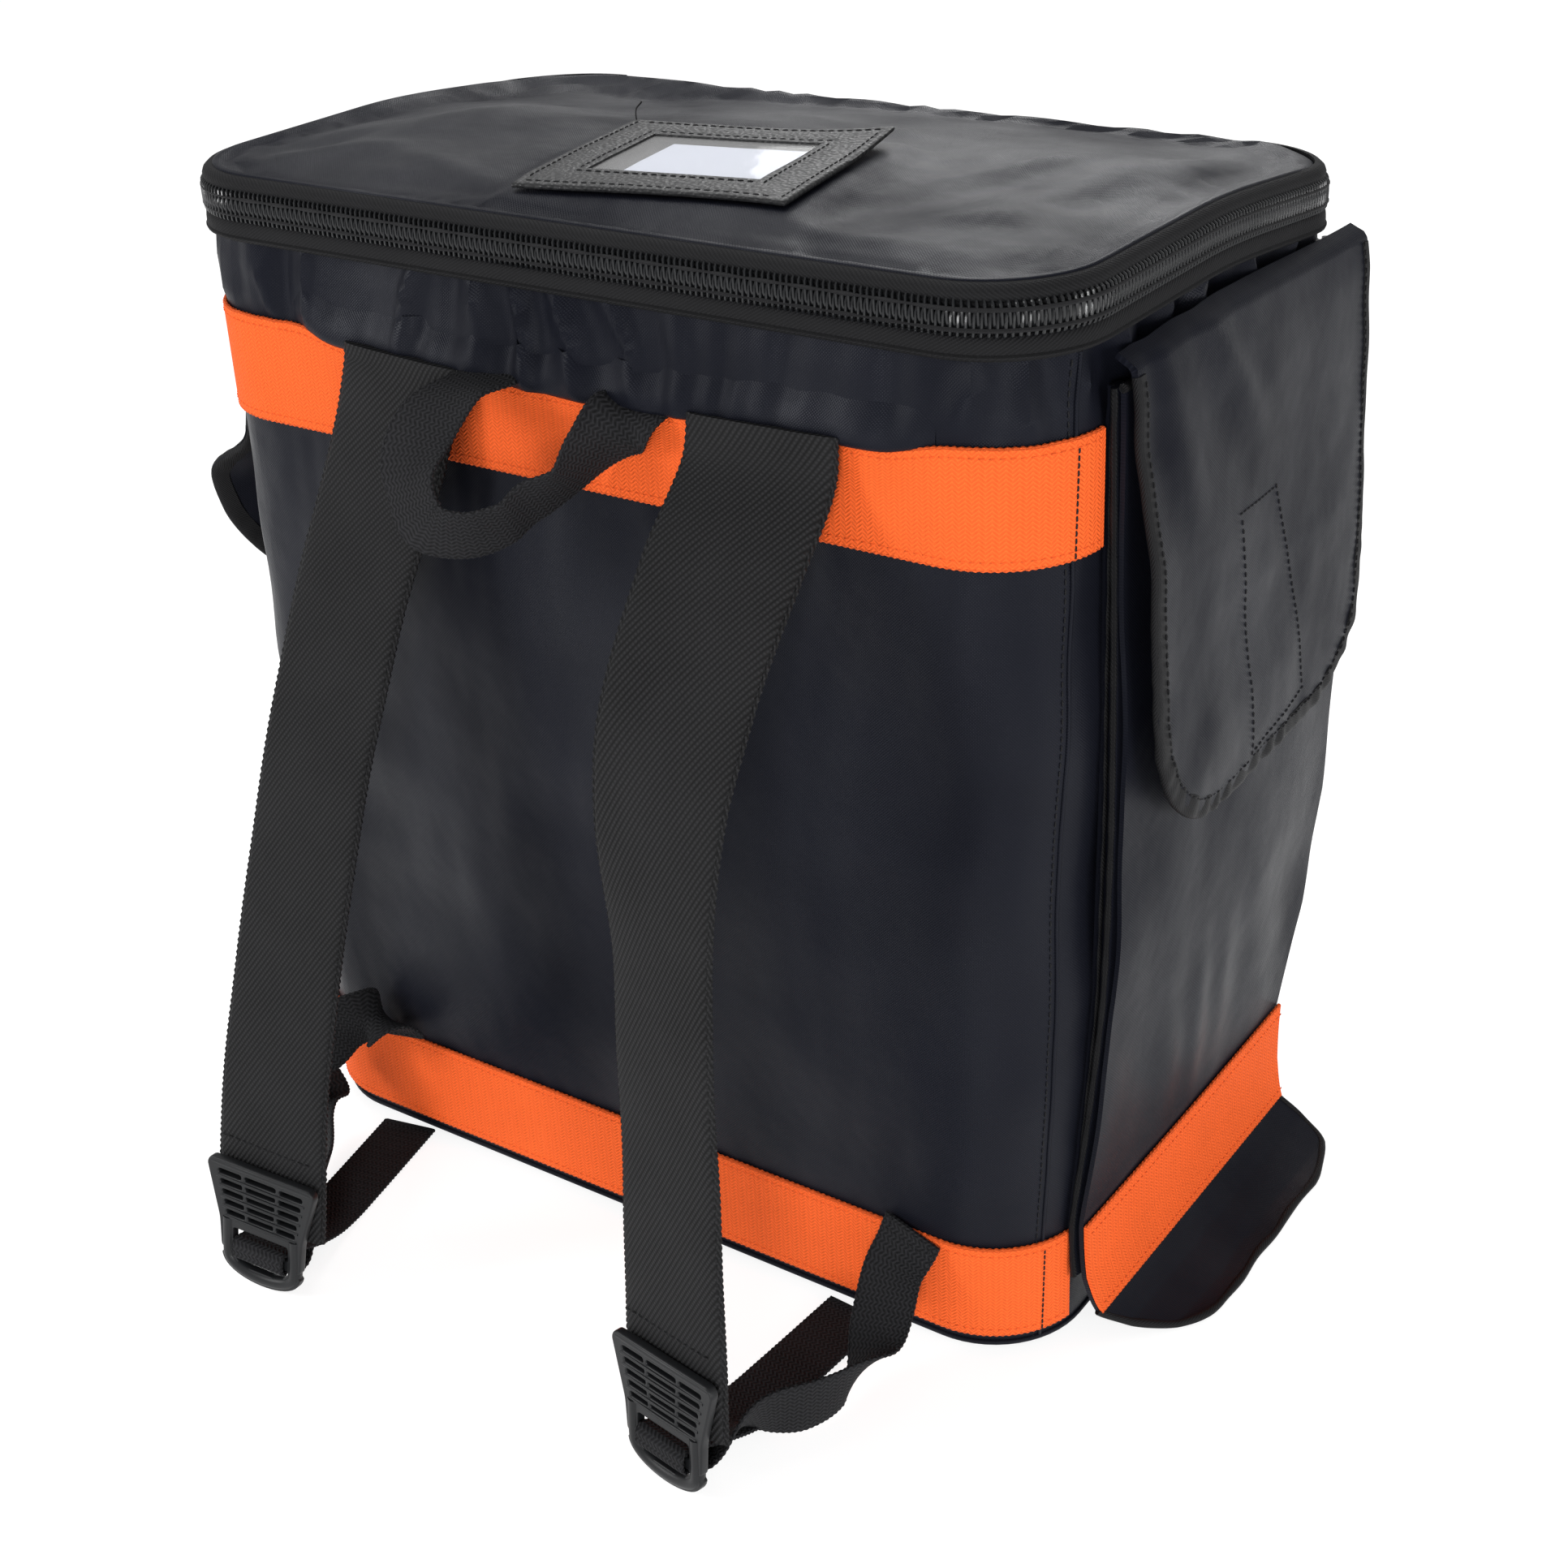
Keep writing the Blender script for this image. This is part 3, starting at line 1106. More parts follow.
def make_slider(name, matrix, nodes):
    """A zip slider with its bridge and pull. Its own x runs along the zip and z stands off it."""
    half = bag().chain / 2 + 0.9 * MM
    body = rounded([(-7.5 * MM, -half * 0.55), (-3 * MM, -half), (7 * MM, -half * 0.9), (7 * MM, half * 0.9),
                    (-3 * MM, half), (-7.5 * MM, half * 0.55)], 1.4 * MM)
    pull = rounded(np.array([(4, -2.6), (33, -3.6), (33, 3.6), (4, 2.6)]) * MM, 2.4 * MM, 6)
    eye = rounded(np.array([(25, -1.6), (25, 1.6), (30.5, 1.8), (30.5, -1.8)]) * MM, 1.2 * MM)
    slot = rounded(np.array([(6, -1.2), (6, 1.2), (9.5, 1.2), (9.5, -1.2)]) * MM, 0.8 * MM)
    points, faces, world = [], [], []
    lift = Matrix.Translation((0, 0, 3.4 * MM))
    for outlines, depth, place in (([body], 1.6 * MM, Matrix()), ([pull, eye, slot], 1.5 * MM, lift)):
        p, f, w = plate_mesh(name, outlines, depth, 0.35 * MM, matrix @ place)
        start = len(world)
        points += p.tolist()
        world += w.tolist()
        faces += [[k + start for k in face] for face in f]
    bridge = [(-5, 0, 0.4), (-4, 0, 3.4), (0, 0, 4.6), (5, 0, 4.6), (6.6, 0, 3.2), (6.2, 0, 0.4)]
    rings, _ = tube_rings(smooth_path(np.array(bridge) * MM, 20), 0.85 * MM)
    faces += tube_faces(len(rings), 8, len(world))
    world += moved(rings.reshape(-1, 3), matrix).tolist()
    points += rings.reshape(-1, 3).tolist()
    add_piece(name, world, faces, np.array(points)[:, :2], "slider", nodes)


# Harness

# Drop is a share of the strap's height, reach and spread are shares of strap_reach and
# strap_spread, and turn is the strap's twist in degrees.
STRAP_ROUTES = {
    "left": [(0, 0, -0.52, 0), (0.025, 0.01, -0.5, 0), (0.08, 0.04, -0.32, 0), (0.16, 0.11, -0.04, 2),
             (0.33, 0.34, 0.26, 4), (0.63, 0.66, 0.6, 6), (0.88, 0.86, 0.84, 7), (1, 0.92, 0.93, 7)],
    "right": [(0, 0, 0.16, 0), (0.045, 0.03, 0.17, 3), (0.12, 0.26, 0.2, 16), (0.22, 0.53, 0.29, 20),
              (0.31, 0.69, 0.4, 4), (0.5, 0.79, 0.57, -13), (0.76, 0.86, 0.68, -12), (1, 0.93, 0.77, -11)],
}
# How much wider each strap is where it is sewn on, as a share of its width.
STRAP_SPREAD = {"left": 0.06, "right": 0.14}
# Gap between the harness and the face of the band behind it.
HARNESS_GAP = 0.6 * MM


def band_face():
    b = bag()
    return b.depth / 2 + 0.3 * MM + b.band_thickness


def strap_frames(side, count=18):
    h, way = harness(), SIDES[side]
    face = band_face() + HARNESS_GAP + h.strap_thickness / 2
    at, across = [], []
    for drop, reach, spread, turn in STRAP_ROUTES[side]:
        x = way * (h.strap_spacing + spread * h.strap_spread) / 2
        at.append((x, -face - reach * h.strap_reach, h.strap_top + (h.strap_end - h.strap_top) * drop))
        a = math.radians(turn)
        across.append((math.cos(a), math.sin(a), 0))
    return frames_along(at, across, count)


def make_straps():
    h = harness()
    for side in SIDES:
        at, u, v = strap_frames(side, 130)
        run = run_of(at)
        ripple = patches(together(run, 0.0), 0.05, SIDES[side] * 5.0) * 0.6 + 0.25 * np.sin(run / 0.011)
        at = at + v * (ripple * MM)[:, None]
        thick = h.strap_thickness
        profile = strip_profile(h.strap_width - 1.2 * MM, thick * 0.62, 0.19 * thick, 15)
        # Pressed flat where it is sewn on, so a little wider there
        flat = 1 + STRAP_SPREAD[side] * (1 - step_up(run, 0, 0.1)) - 0.06 * hump(run, 0.08, 0.34)
        u_wide = u * flat[:, None]
        piece = sweep(f"strap_{side}", profile, at, u_wide, v, "strap",
                      [f"shoulder_strap_{side}"])
        half = h.strap_width / 2 - 0.7 * MM
        edges = [at + u_wide * half, at - u_wide * half]
        whipped(f"strap_edges_{side}", edges, "strap", 1.25 * MM, 2.6 * MM)
        skin = thick / 2 + 0.05 * MM
        # One row of stitches across the strap, above its buckle
        low = int(np.interp(run[-1] - 34 * MM, run, np.arange(len(run))))
        face = v[low] if np.dot(v[0], (0, -1, 0)) > 0 else -v[low]
        xs = np.linspace(-half + 3 * MM, half - 3 * MM, 12)
        row = at[low] + u[low] * xs[:, None] + face * skin
        stitch_line(f"strap_stitches_{side}", [(row, np.repeat([face], len(xs), 0))],
                    radius=0.4 * MM)


def buckle_matrix(side):
    """The buckle's own frame: x across, y up the strap, z off the strap."""
    h = harness()
    at, u, v = strap_frames(side)
    up = np.cross(v[-1], u[-1])
    place = at[-1] + v[-1] * (h.strap_thickness / 2 + 0.9 * MM)
    m = Matrix.Identity(4)
    for k, axis in enumerate((u[-1], up, v[-1])):
        m.col[k][:3] = axis
    m.col[3][:3] = place
    return m


# The buckle, down from its comb: the upper window, the bar under it, and the rail round the nose.
UPPER_WINDOW = (-3 * MM, -9 * MM)
NOSE_BAR = 5 * MM
NOSE_RAIL = 6.2 * MM
# Distance from one slot of the comb to the next one down.
SLOT_STEP = 4.5 * MM


def make_buckles():
    h = harness()
    top, neck, comb = h.buckle_top / 2, h.buckle_neck / 2, h.comb
    nose = h.buckle_height - comb
    inner = h.webbing_width / 2 + 1 * MM
    shoulder = inner + NOSE_RAIL
    lower_top = UPPER_WINDOW[1] - NOSE_BAR
    lower_low = NOSE_RAIL - nose
    turns = [math.pi * i / 24 for i in range(1, 24)]
    u_shape = [(shoulder * math.cos(a), lower_top - (nose + lower_top) * math.sin(a) ** 0.75) for a in turns]
    outside = rounded([(-shoulder, lower_top), (-neck, 0), (-top, comb - 3 * MM), (-top + 2 * MM, comb),
                       (top - 2 * MM, comb), (top, comb - 3 * MM), (neck, 0), (shoulder, lower_top)],
                      2.2 * MM)
    outside = [tuple(p) for p in outside] + u_shape
    slots = []
    for middle, width, shift in ((-0.335, 0.25, 0.1), (0, 0.34, 0), (0.335, 0.25, 0.15)):
        for i in range(5):
            y = comb - 4.4 * MM - i * SLOT_STEP - shift * MM
            low = y - 2.1 * MM
            wide = 2 * (neck + (top - neck) * y / comb) - 6 * MM
            left = (middle - width / 2) * wide
            right = left + width * wide
            slots.append(rounded([(left, low), (left, y), (right, y), (right, low)], 1.0 * MM, 3))
    windows = [rounded([(-inner, UPPER_WINDOW[1]), (-inner, UPPER_WINDOW[0]), (inner, UPPER_WINDOW[0]),
                        (inner, UPPER_WINDOW[1])], 1.2 * MM),
               rounded([(-inner * 0.7, lower_low), (-inner, lower_low + 4 * MM), (-inner, lower_top),
                        (inner, lower_top), (inner, lower_low + 4 * MM), (inner * 0.7, lower_low)], 1.4 * MM)]
    for side in SIDES:
        m = buckle_matrix(side)
        name = f"buckle_plate_{side}"
        place = m @ Matrix.Translation((0, 0, 2 * MM))
        points, faces, world = plate_mesh(name, [outside] + slots + windows, 3.8 * MM, 0.7 * MM, place)
        add_piece(name, world, faces, points[:, :2], "buckle", [f"buckle_{side}"])
        # Round rail of the nose, the thick lip at the top and the ribs between the slots
        mid = (shoulder + inner) / 2 - 0.2 * MM
        deep = nose + lower_top - 3.2 * MM
        bend = [(mid * math.cos(a), lower_top - deep * math.sin(a) ** 0.75)
                for a in [math.pi * i / 16 for i in range(17)]]
        rail = [(mid, 1 * MM), *bend, (-mid, 1 * MM)]
        rail = smooth_path(np.array([(x, y, 2.1 * MM) for x, y in rail]), 90)
        end, edge = top - 2.4 * MM, comb - 2 * MM
        lip = smooth_path(np.array([(-end, edge, 2.4 * MM), (0, comb - 1.8 * MM, 2.8 * MM),
                                    (end, edge, 2.4 * MM)]), 20)
        for label, path, size in (("rail", rail, 2.85 * MM), ("lip", lip, 1.6 * MM)):
            cord_piece(f"buckle_{label}_{side}", [moved(path, m)], size, "buckle", sides=14)
        ribs = []
        for i in range(1, 6):
            y = comb - 3.4 * MM - i * SLOT_STEP
            wide = neck + (top - neck) * y / comb - 3 * MM
            rib = np.array([(-wide, y, 3.5 * MM), (0, y + 0.1 * MM, 3.9 * MM), (wide, y, 3.5 * MM)])
            ribs.append(moved(smooth_path(rib, 16), m))
        cord_piece(f"buckle_ribs_{side}", ribs, 0.75 * MM, "buckle")


# Side is a share of half the bag's width, out is a share of strap_reach, and height is a share of
# the height of the lower band's upper edge. The last is the direction across the webbing.
WEBBING_ROUTES = {
    "right": [(0.727, 0, 1.04, (1, 0, 0)), (0.716, 0.02, 0.9, (1, 0, 0)), (0.706, 0.08, 0.74, (1, 0, 0.05)),
              (0.718, 0.184, 0.52, (1, 0.1, 0.15)), (0.732, 0.3, 0.34, (0.75, 0.3, 0.6)),
              (0.732, 0.46, 0.285, (0.3, 0.2, 0.92)), (0.7, 0.6, 0.28, (0.25, 0.15, 0.95)),
              (0.64, 0.72, 0.28, (0.45, 0.1, 0.86))],
    "left": [(-0.63, 0.015, 1.06, (-1, 0, 0)), (-0.645, 0.045, 1.2, (-1, 0, 0.1)),
             (-0.69, 0.12, 1.3, (-0.7, -0.3, 0.6)),
             (-0.76, 0.17, 1.16, (-0.35, -0.2, 0.9)), (-0.81, 0.22, 0.82, (-0.2, 0.5, 0.8)),
             (-0.8, 0.25, 0.48, (0, 0.6, 0.8)), (-0.74, 0.35, 0.32, (0.2, 0.3, 0.93)),
             (-0.65, 0.52, 0.28, (0.3, 0.2, 0.93)), (-0.61, 0.7, 0.28, (0.5, 0.1, 0.86))],
}
# How far out each tail ends behind its buckle, as a share of where it leaves the buckle.
TAIL_SPREAD = {"left": 1.2, "right": 1.07}


def webbing_frames(side):
    h, b = harness(), bag()
    thick = h.webbing_thickness
    face = band_face() + 0.3 * MM + thick / 2
    band_edge = b.band_bottom + b.band / 2
    rows = [((s * b.width / 2, -face - out * h.strap_reach, z * band_edge), across)
            for s, out, z, across in WEBBING_ROUTES[side]]
    m = buckle_matrix(side)
    u = tuple(m.col[0][:3])
    skin = thick / 2 + 0.3 * MM
    lower_top = UPPER_WINDOW[1] - NOSE_BAR
    middle = (UPPER_WINDOW[1] + lower_top) / 2
    below, above = lower_top - skin, UPPER_WINDOW[1] + skin
    plate = 4 * MM
    front = plate + skin
    loop = [(below - 4 * MM, -9 * MM), (below - MM, -2.5 * MM), (below - 0.2 * MM, 0.5 * MM),
            (below - 0.4 * MM, plate - 0.2 * MM), (below + MM, front + 0.4 * MM), (middle, front + 0.5 * MM),
            (above - MM, front + 0.4 * MM), (above + 0.4 * MM, plate - 0.2 * MM),
            (above + 0.2 * MM, 0.5 * MM), (above - 0.4 * MM, -3 * MM), (above - 2.5 * MM, -9 * MM)]
    rows += [(tuple(m @ Vector((0, y, z))), u) for y, z in loop]
    leave = rows[-1][0]
    ground = thick / 2 + 0.45 * MM
    for along, height in ((0.13, 0.5), (0.26, 0.16), (0.38, 0.03), (0.55, 0), (1, 0)):
        y = leave[1] + (-band_face() - HARNESS_GAP - leave[1]) * along
        z = ground + (leave[2] - ground) * height
        rows.append(((leave[0] * (1 + (TAIL_SPREAD[side] - 1) * along), y, z), (1, 0, 0)))
    return frames_along([r[0] for r in rows], [r[1] for r in rows], (len(rows) - 1) * 12)


def webbing_piece(name, at, u, v, nodes):
    h = harness()
    profile = strip_profile(h.webbing_width - 0.8 * MM, h.webbing_thickness, 0, 9)
    sweep(name, profile, at, u, v, "webbing", nodes)
    half = h.webbing_width / 2 - 0.45 * MM
    whipped(name + "_edges", [at + u * half, at - u * half], "webbing", 0.85 * MM, 2.2 * MM)


def make_webbing():
    for side in SIDES:
        at, u, v = webbing_frames(side)
        webbing_piece(f"webbing_{side}", at, u, v, [f"lower_webbing_{side}"])
        # Box of stitches where it is sewn to the band
        half = harness().webbing_width / 2 - 3 * MM
        skin = harness().webbing_thickness / 2 + 0.1 * MM
        front = 1 if v[0][1] < 0 else -1
        xs = np.linspace(-half, half, 8)
        face = v * front
        first, last = 2, 9
        lines = [(at[k] + u[k] * xs[:, None] + face[k] * skin, np.repeat([face[k]], len(xs), 0))
                 for k in (first, last)]
        part = slice(first, last + 1)
        for x in (-half, half):
            lines.append((at[part] + u[part] * x + face[part] * skin, face[part]))
        stitch_line(f"webbing_stitches_{side}", lines, radius=0.3 * MM)


# Side is a share of half the span, reach of loop_reach and drop of loop_drop. The last is the
# direction across the webbing. Both ends pass into the bag's wall, where the loop is sewn in.
LOOP_ROUTE = [
    (-1.2, -0.3, 0.08, (1, 0, 0)), (-1.25, 0.05, 0.1, (1, 0, 0)), (-1.45, 0.55, 0.14, (1, 0.2, 0.1)),
    (-1.55, 1.05, 0.28, (1, 0.15, -0.15)), (-1.45, 1.45, 0.47, (1, -0.15, 0)),
    (-1.15, 1.55, 0.7, (0.8, 0, 0.6)), (-0.7, 1.35, 0.76, (0.55, -0.2, 0.8)),
    (-0.25, 1.05, 0.71, (0.45, -0.3, 0.85)), (0, 0.8, 0.61, (0.3, -0.5, 0.8)),
    (0.4, 0.5, 0.5, (0.25, -0.75, 0.6)), (0.75, 0.3, 0.32, (-0.3, -0.8, 0.5)),
    (1.08, 0.08, 0.18, (-0.95, -0.25, 0.05)), (1.25, -0.25, 0.13, (-1, 0, 0)), (1.3, -0.6, 0.12, (-1, 0, 0)),
]


def make_loop():
    h = harness()
    face = band_face() + HARNESS_GAP + h.webbing_thickness / 2
    at = [(h.loop_middle + s * h.loop_span / 2, -face - reach * h.loop_reach, h.loop_top - drop * h.loop_drop)
          for s, reach, drop, _ in LOOP_ROUTE]
    at, u, v = frames_along(at, [r[3] for r in LOOP_ROUTE], 130)
    webbing_piece("carry_loop_webbing", at, u, v, ["carry_loop"])


# Label holder

# Middle, lengthwise and crosswise directions of the label holder, which lies a little askew.
LABEL_MIDDLE = np.array([13 * MM, -46 * MM])
LABEL_LONG = np.array([0.985, 0.17])
LABEL_WIDE = np.array([-0.12, 1.0])


def label_uv(x, y):
    """Place within the label holder's own rectangle."""
    dx, dy = x - LABEL_MIDDLE[0], y - LABEL_MIDDLE[1]
    area = LABEL_LONG[0] * LABEL_WIDE[1] - LABEL_LONG[1] * LABEL_WIDE[0]
    return (dx * LABEL_WIDE[1] - dy * LABEL_WIDE[0]) / area, (dy * LABEL_LONG[0] - dx * LABEL_LONG[1]) / area


def label_cover(x, y):
    """1 under the label holder, 0 away from it."""
    p = pocket()
    u, v = label_uv(x, y)
    away = np.hypot(np.maximum(np.abs(u) - p.label_width / 2, 0),
                    np.maximum(np.abs(v) - p.label_depth / 2, 0))
    return 1 - step_up(away, 1 * MM, 16 * MM)


def label_point(u, v, lift):
    p = pocket()
    x, y = (LABEL_MIDDLE[k] + u * LABEL_LONG[k] + v * LABEL_WIDE[k] for k in range(2))
    far = np.clip(2 * v / p.label_depth, 0, 1) * np.clip(2 * u / p.label_width, 0, 1)
    z = lid_height(x, y) - sag(y, bag().zip_height) + lift + 3.5 * MM * far ** 2
    return np.stack([x, y, z], -1)


def make_label():
    p = pocket()
    seat, thick = 0.9 * MM, 1.8 * MM
    half_u, half_v = p.label_width / 2, p.label_depth / 2
    open_u, open_v = half_u - p.label_border, half_v - p.label_border
    count = 44
    corners = [(-1, -1), (1, -1), (1, 1), (-1, 1), (-1, -1)]
    around = []
    for (ax, ay), (bx, by) in zip(corners, corners[1:]):
        around += [(ax + (bx - ax) * i / count, ay + (by - ay) * i / count) for i in range(count)]
    around = np.array(around)
    bow = 1 + 0.006 * np.sin(np.arange(len(around)) / 9.0)
    # Across the border, as (share of the way in, share of the thickness)
    profile = [(0.0, 0.0), (-0.012, 0.3), (-0.008, 0.75), (0.03, 1.0), (0.08, 1.05), (0.13, 1.0),
               (0.17, 0.9), (0.22, 1.0), (0.35, 1.06), (0.55, 1.06), (0.74, 1.0), (0.8, 0.9),
               (0.86, 1.0), (0.94, 1.04), (0.985, 0.95), (1.0, 0.6), (0.99, 0.0)]
    rings = []
    for way, height in profile:
        u = around[:, 0] * (half_u + (open_u - half_u) * way) * bow
        v = around[:, 1] * (half_v + (open_v - half_v) * way)
        rings.append(label_point(u, v, seat + height * thick))
    rings = np.array(rings)
    faces = grid_faces(len(rings) + 1, len(around), wrap=True)
    size = len(rings) * len(around)
    faces = [[k % size for k in face] for face in faces]
    flat = np.broadcast_to(around * [half_u, half_v], (*rings.shape[:2], 2))
    piece = add_piece("label_leather", rings, faces, flat, "leather", ["label_frame"])
    settle_normals(piece)
    lines = []
    for inset_u, inset_v, steps in ((half_u - 3 * MM, half_v - 3 * MM, 60),
                                    (open_u + 3.2 * MM, open_v + 3.2 * MM, 40)):
        for (ax, ay), (bx, by) in zip(corners, corners[1:]):
            t = np.linspace(0.02, 0.98, steps)
            u, v = (ax + (bx - ax) * t) * inset_u, (ay + (by - ay) * t) * inset_v
            path = label_point(u, v, seat + thick * 0.98)
            lines.append((path, np.repeat([UP], steps, 0)))
    stitch_line("label_stitches", lines, stitch=2.6 * MM, gap=0.9 * MM, radius=0.27 * MM)

    def plate(name, left, right, near, far, lift, thickness, kind, slot, nodes):
        u, v = np.meshgrid(np.linspace(left, right, 40), np.linspace(far, near, 26))
        grid = label_point(u, v, lift)
        thick_sheet(name, grid, sheet_uv(grid), thickness, kind, nodes, outward=(0, 0, 1))

    gap = 0.6 * MM
    plate("card_slip", -open_u + gap + 11 * MM, open_u + 6 * MM, -open_v - 3 * MM, open_v - 7 * MM,
          seat + 0.3 * MM, 0.4 * MM, "card", "card", ["label_card"])
    plate("film_window", -open_u - 4 * MM, open_u + 4 * MM, -open_v - 4 * MM, open_v + 4 * MM,
          seat + 0.85 * MM, 0.3 * MM, "film", "clear_window", ["label_window"])
    # A loose end of thread at one corner
    start = label_point(np.array(-half_u + 1 * MM), np.array(half_v - 1 * MM), seat + thick)
    steps = np.array([(0, 0, 0), (-1, 1, 1.5), (-2, 3, 3.5), (-1, 4, 5), (0.5, 3, 6)]) * MM
    cord_piece("label_thread", [smooth_path(start + steps, 24)], 0.3 * MM, "thread", sides=6)


# Side pockets. Height is a share of the pocket's top, out of its depth, near and far of its edges.
POCKET_SECTIONS = [
    (1, 0.6, 1, 1), (0.8, 0.85, 1, 1), (0.58, 1, 1, 1), (0.4, 0.9, 1.02, 0.98), (0.26, 0.6, 1.09, 0.935),
    (0.143, 0.28, 1.14, 0.8), (0.08, 0.45, 1.14, 0.76), (0.037, 0.9, 1.1, 0.73),
]
# Nothing of the pockets' cloth has its middle lower than this.
LOWEST = 1.21 * MM
# The lip under the band: height in metres, out as a share of the lip's reach, near and far.
LIP_SECTIONS = {
    "right": [(6.2 * MM, 0.45, 0.98, 0.74), (1.65 * MM, 0.77, 0.82, 0.68), (LOWEST, 0.95, 0.74, 0.54)],
    "left": [(6.2 * MM, 0.25, 1.06, 0.8), (1.32 * MM, 0.28, 1.04, 0.79)],
}
# The section at the upper edge of the pocket's band. Its lower edge is two sections further down.
BAND_ROW = 5
BAND_END = BAND_ROW + 2


def pocket_rows(side):
    """Rows down the pocket: height, out, near and far edges."""
    p = pocket()
    rows = [(z * p.top, out * p.out, near * p.near, far * p.far) for z, out, near, far in POCKET_SECTIONS]
    rows += [(z, out * p.lip, near * p.near, far * p.far) for z, out, near, far in LIP_SECTIONS[side]]
    return np.array(rows)


def dense_rows(side, per=12):
    rows = pocket_rows(side)
    count = (len(rows) - 1) * per
    fine = smooth_path(rows, count)
    t = np.linspace(0, len(rows) - 1, count + 1)
    for k in range(4):
        fine[:, k] = 0.5 * fine[:, k] + 0.5 * np.interp(t, np.arange(len(rows)), rows[:, k])
    fine[:, 0] = np.maximum(fine[:, 0], LOWEST)
    return fine, t


def body_side(y, z):
    """How far out the bag's side is at a place, inside its corners."""
    row = body_row(z)
    past = np.maximum(np.abs(y) - (row[1] - row[2]), 0)
    return row[0] - (row[2] - np.sqrt(np.maximum(row[2] ** 2 - past ** 2, 0)))


def pocket_surface(side, columns=70, puckered=True):
    """Grid of places on the pocket's cloth: rows down, columns from the far edge to the near one."""
    p, way = pocket(), SIDES[side]
    rows, t = dense_rows(side)
    s = np.linspace(0, 1, columns)
    z, out, near, far = (rows[:, k][:, None] for k in range(4))
    swell = 3 * MM * (1 - (2 * s - 1) ** 2) * np.sin(np.pi * np.minimum(z / p.top, 1)) ** 2
    y = far + (-near - far) * s
    x = half_width() + out + swell
    left = np.concatenate([np.cumsum(np.hypot(np.diff(rows[:, 0]), np.diff(rows[:, 1]))[::-1])[::-1], [0]])
    r = 13 * MM
    trim = (r - np.sqrt(np.maximum(r * r - np.maximum(r - left, 0) ** 2, 0)))[:, None]
    y = y + trim * np.sign(s - 0.5) * np.abs(2 * s - 1) ** 2
    if puckered:
        above = hump(t, 3.0, BAND_ROW, 0.7)[:, None]
        folds = (np.sin(y / 0.0052 + 2.0 * np.sin(y / 0.021) + z * 30) * 0.55
                 + np.sin(y / 0.012 + z * 25) * 0.5)
        x = x + above * folds * MM
        place = together(y, z)
        loose = hump(t, -0.5, BAND_ROW, 0.5)[:, None]
        x = x + loose * (patches(place, 0.07, way * 4.0) * 2.0 + patches(place, 0.028, 8.0) * 0.6) * MM
        low = step_up(t, BAND_END, BAND_END + 0.6)[:, None]
        x = x + low * np.sin(y / 0.009 + 2 * np.sin(y / 0.02)) * 0.5 * MM
    return together(way * x, y, z), t


def make_side_pockets():
    b = bag()
    for side, way in SIDES.items():
        grid, t = pocket_surface(side)
        outward = (way, 0, 0)
        thick_sheet(f"pocket_cloth_{side}", grid, sheet_uv(grid), 1.8 * MM, "pocket",
                    [f"pocket_panel_{side}"], outward=outward)
        # Band with corded edges and stitches
        plain, t = pocket_surface(side, puckered=False)
        band = plain[(t >= BAND_ROW) & (t <= BAND_END)]
        off = 0.9 * MM + 0.3 * MM + b.band_thickness / 2
        thick_sheet(f"pocket_band_cloth_{side}", band, sheet_uv(band), b.band_thickness, "orange",
                    [f"pocket_band_{side}"], outward=outward, lift=off)
        normal = unit(np.cross(np.gradient(band, axis=1), np.gradient(band, axis=0)))
        normal *= np.sign(normal[..., :1] * way)
        face = band + normal * off
        whipped(f"pocket_band_edges_{side}", [face[0], face[-1]], "orange_edge")
        lines = [(band[k] + normal[k] * (off + b.band_thickness / 2), normal[k]) for k in (2, -3)]
        stitch_line(f"pocket_band_stitches_{side}", lines, "orange_edge", radius=0.26 * MM)
        # Bound edges of the lip and the mouth
        lip = grid[t >= BAND_END]
        edges = []
        for path in (np.vstack([lip[:, 0], lip[-1, 1:-1], lip[::-1, -1]]), grid[0]):
            path = resample(path, 2 * MM)[0]
            path[:, 2] = np.maximum(path[:, 2], 1.75 * MM)
            edges.append(path)
        cord_piece(f"pocket_binding_{side}", edges, lambda run: 1.55 * MM * (1 + 0.1 * np.sin(run / 0.004)),
                   "binding")
        make_bellows(side)


# Folds of the bellows, in two shares: out from the bag, and along the pocket's edge.
FOLD_LINE = [(0, -0.06), (0.33, -0.62), (0.67, 0.1), (1, -0.62)]
# Where the bound edges lie along that line.
FOLD_EDGES = (2, 17, 24)


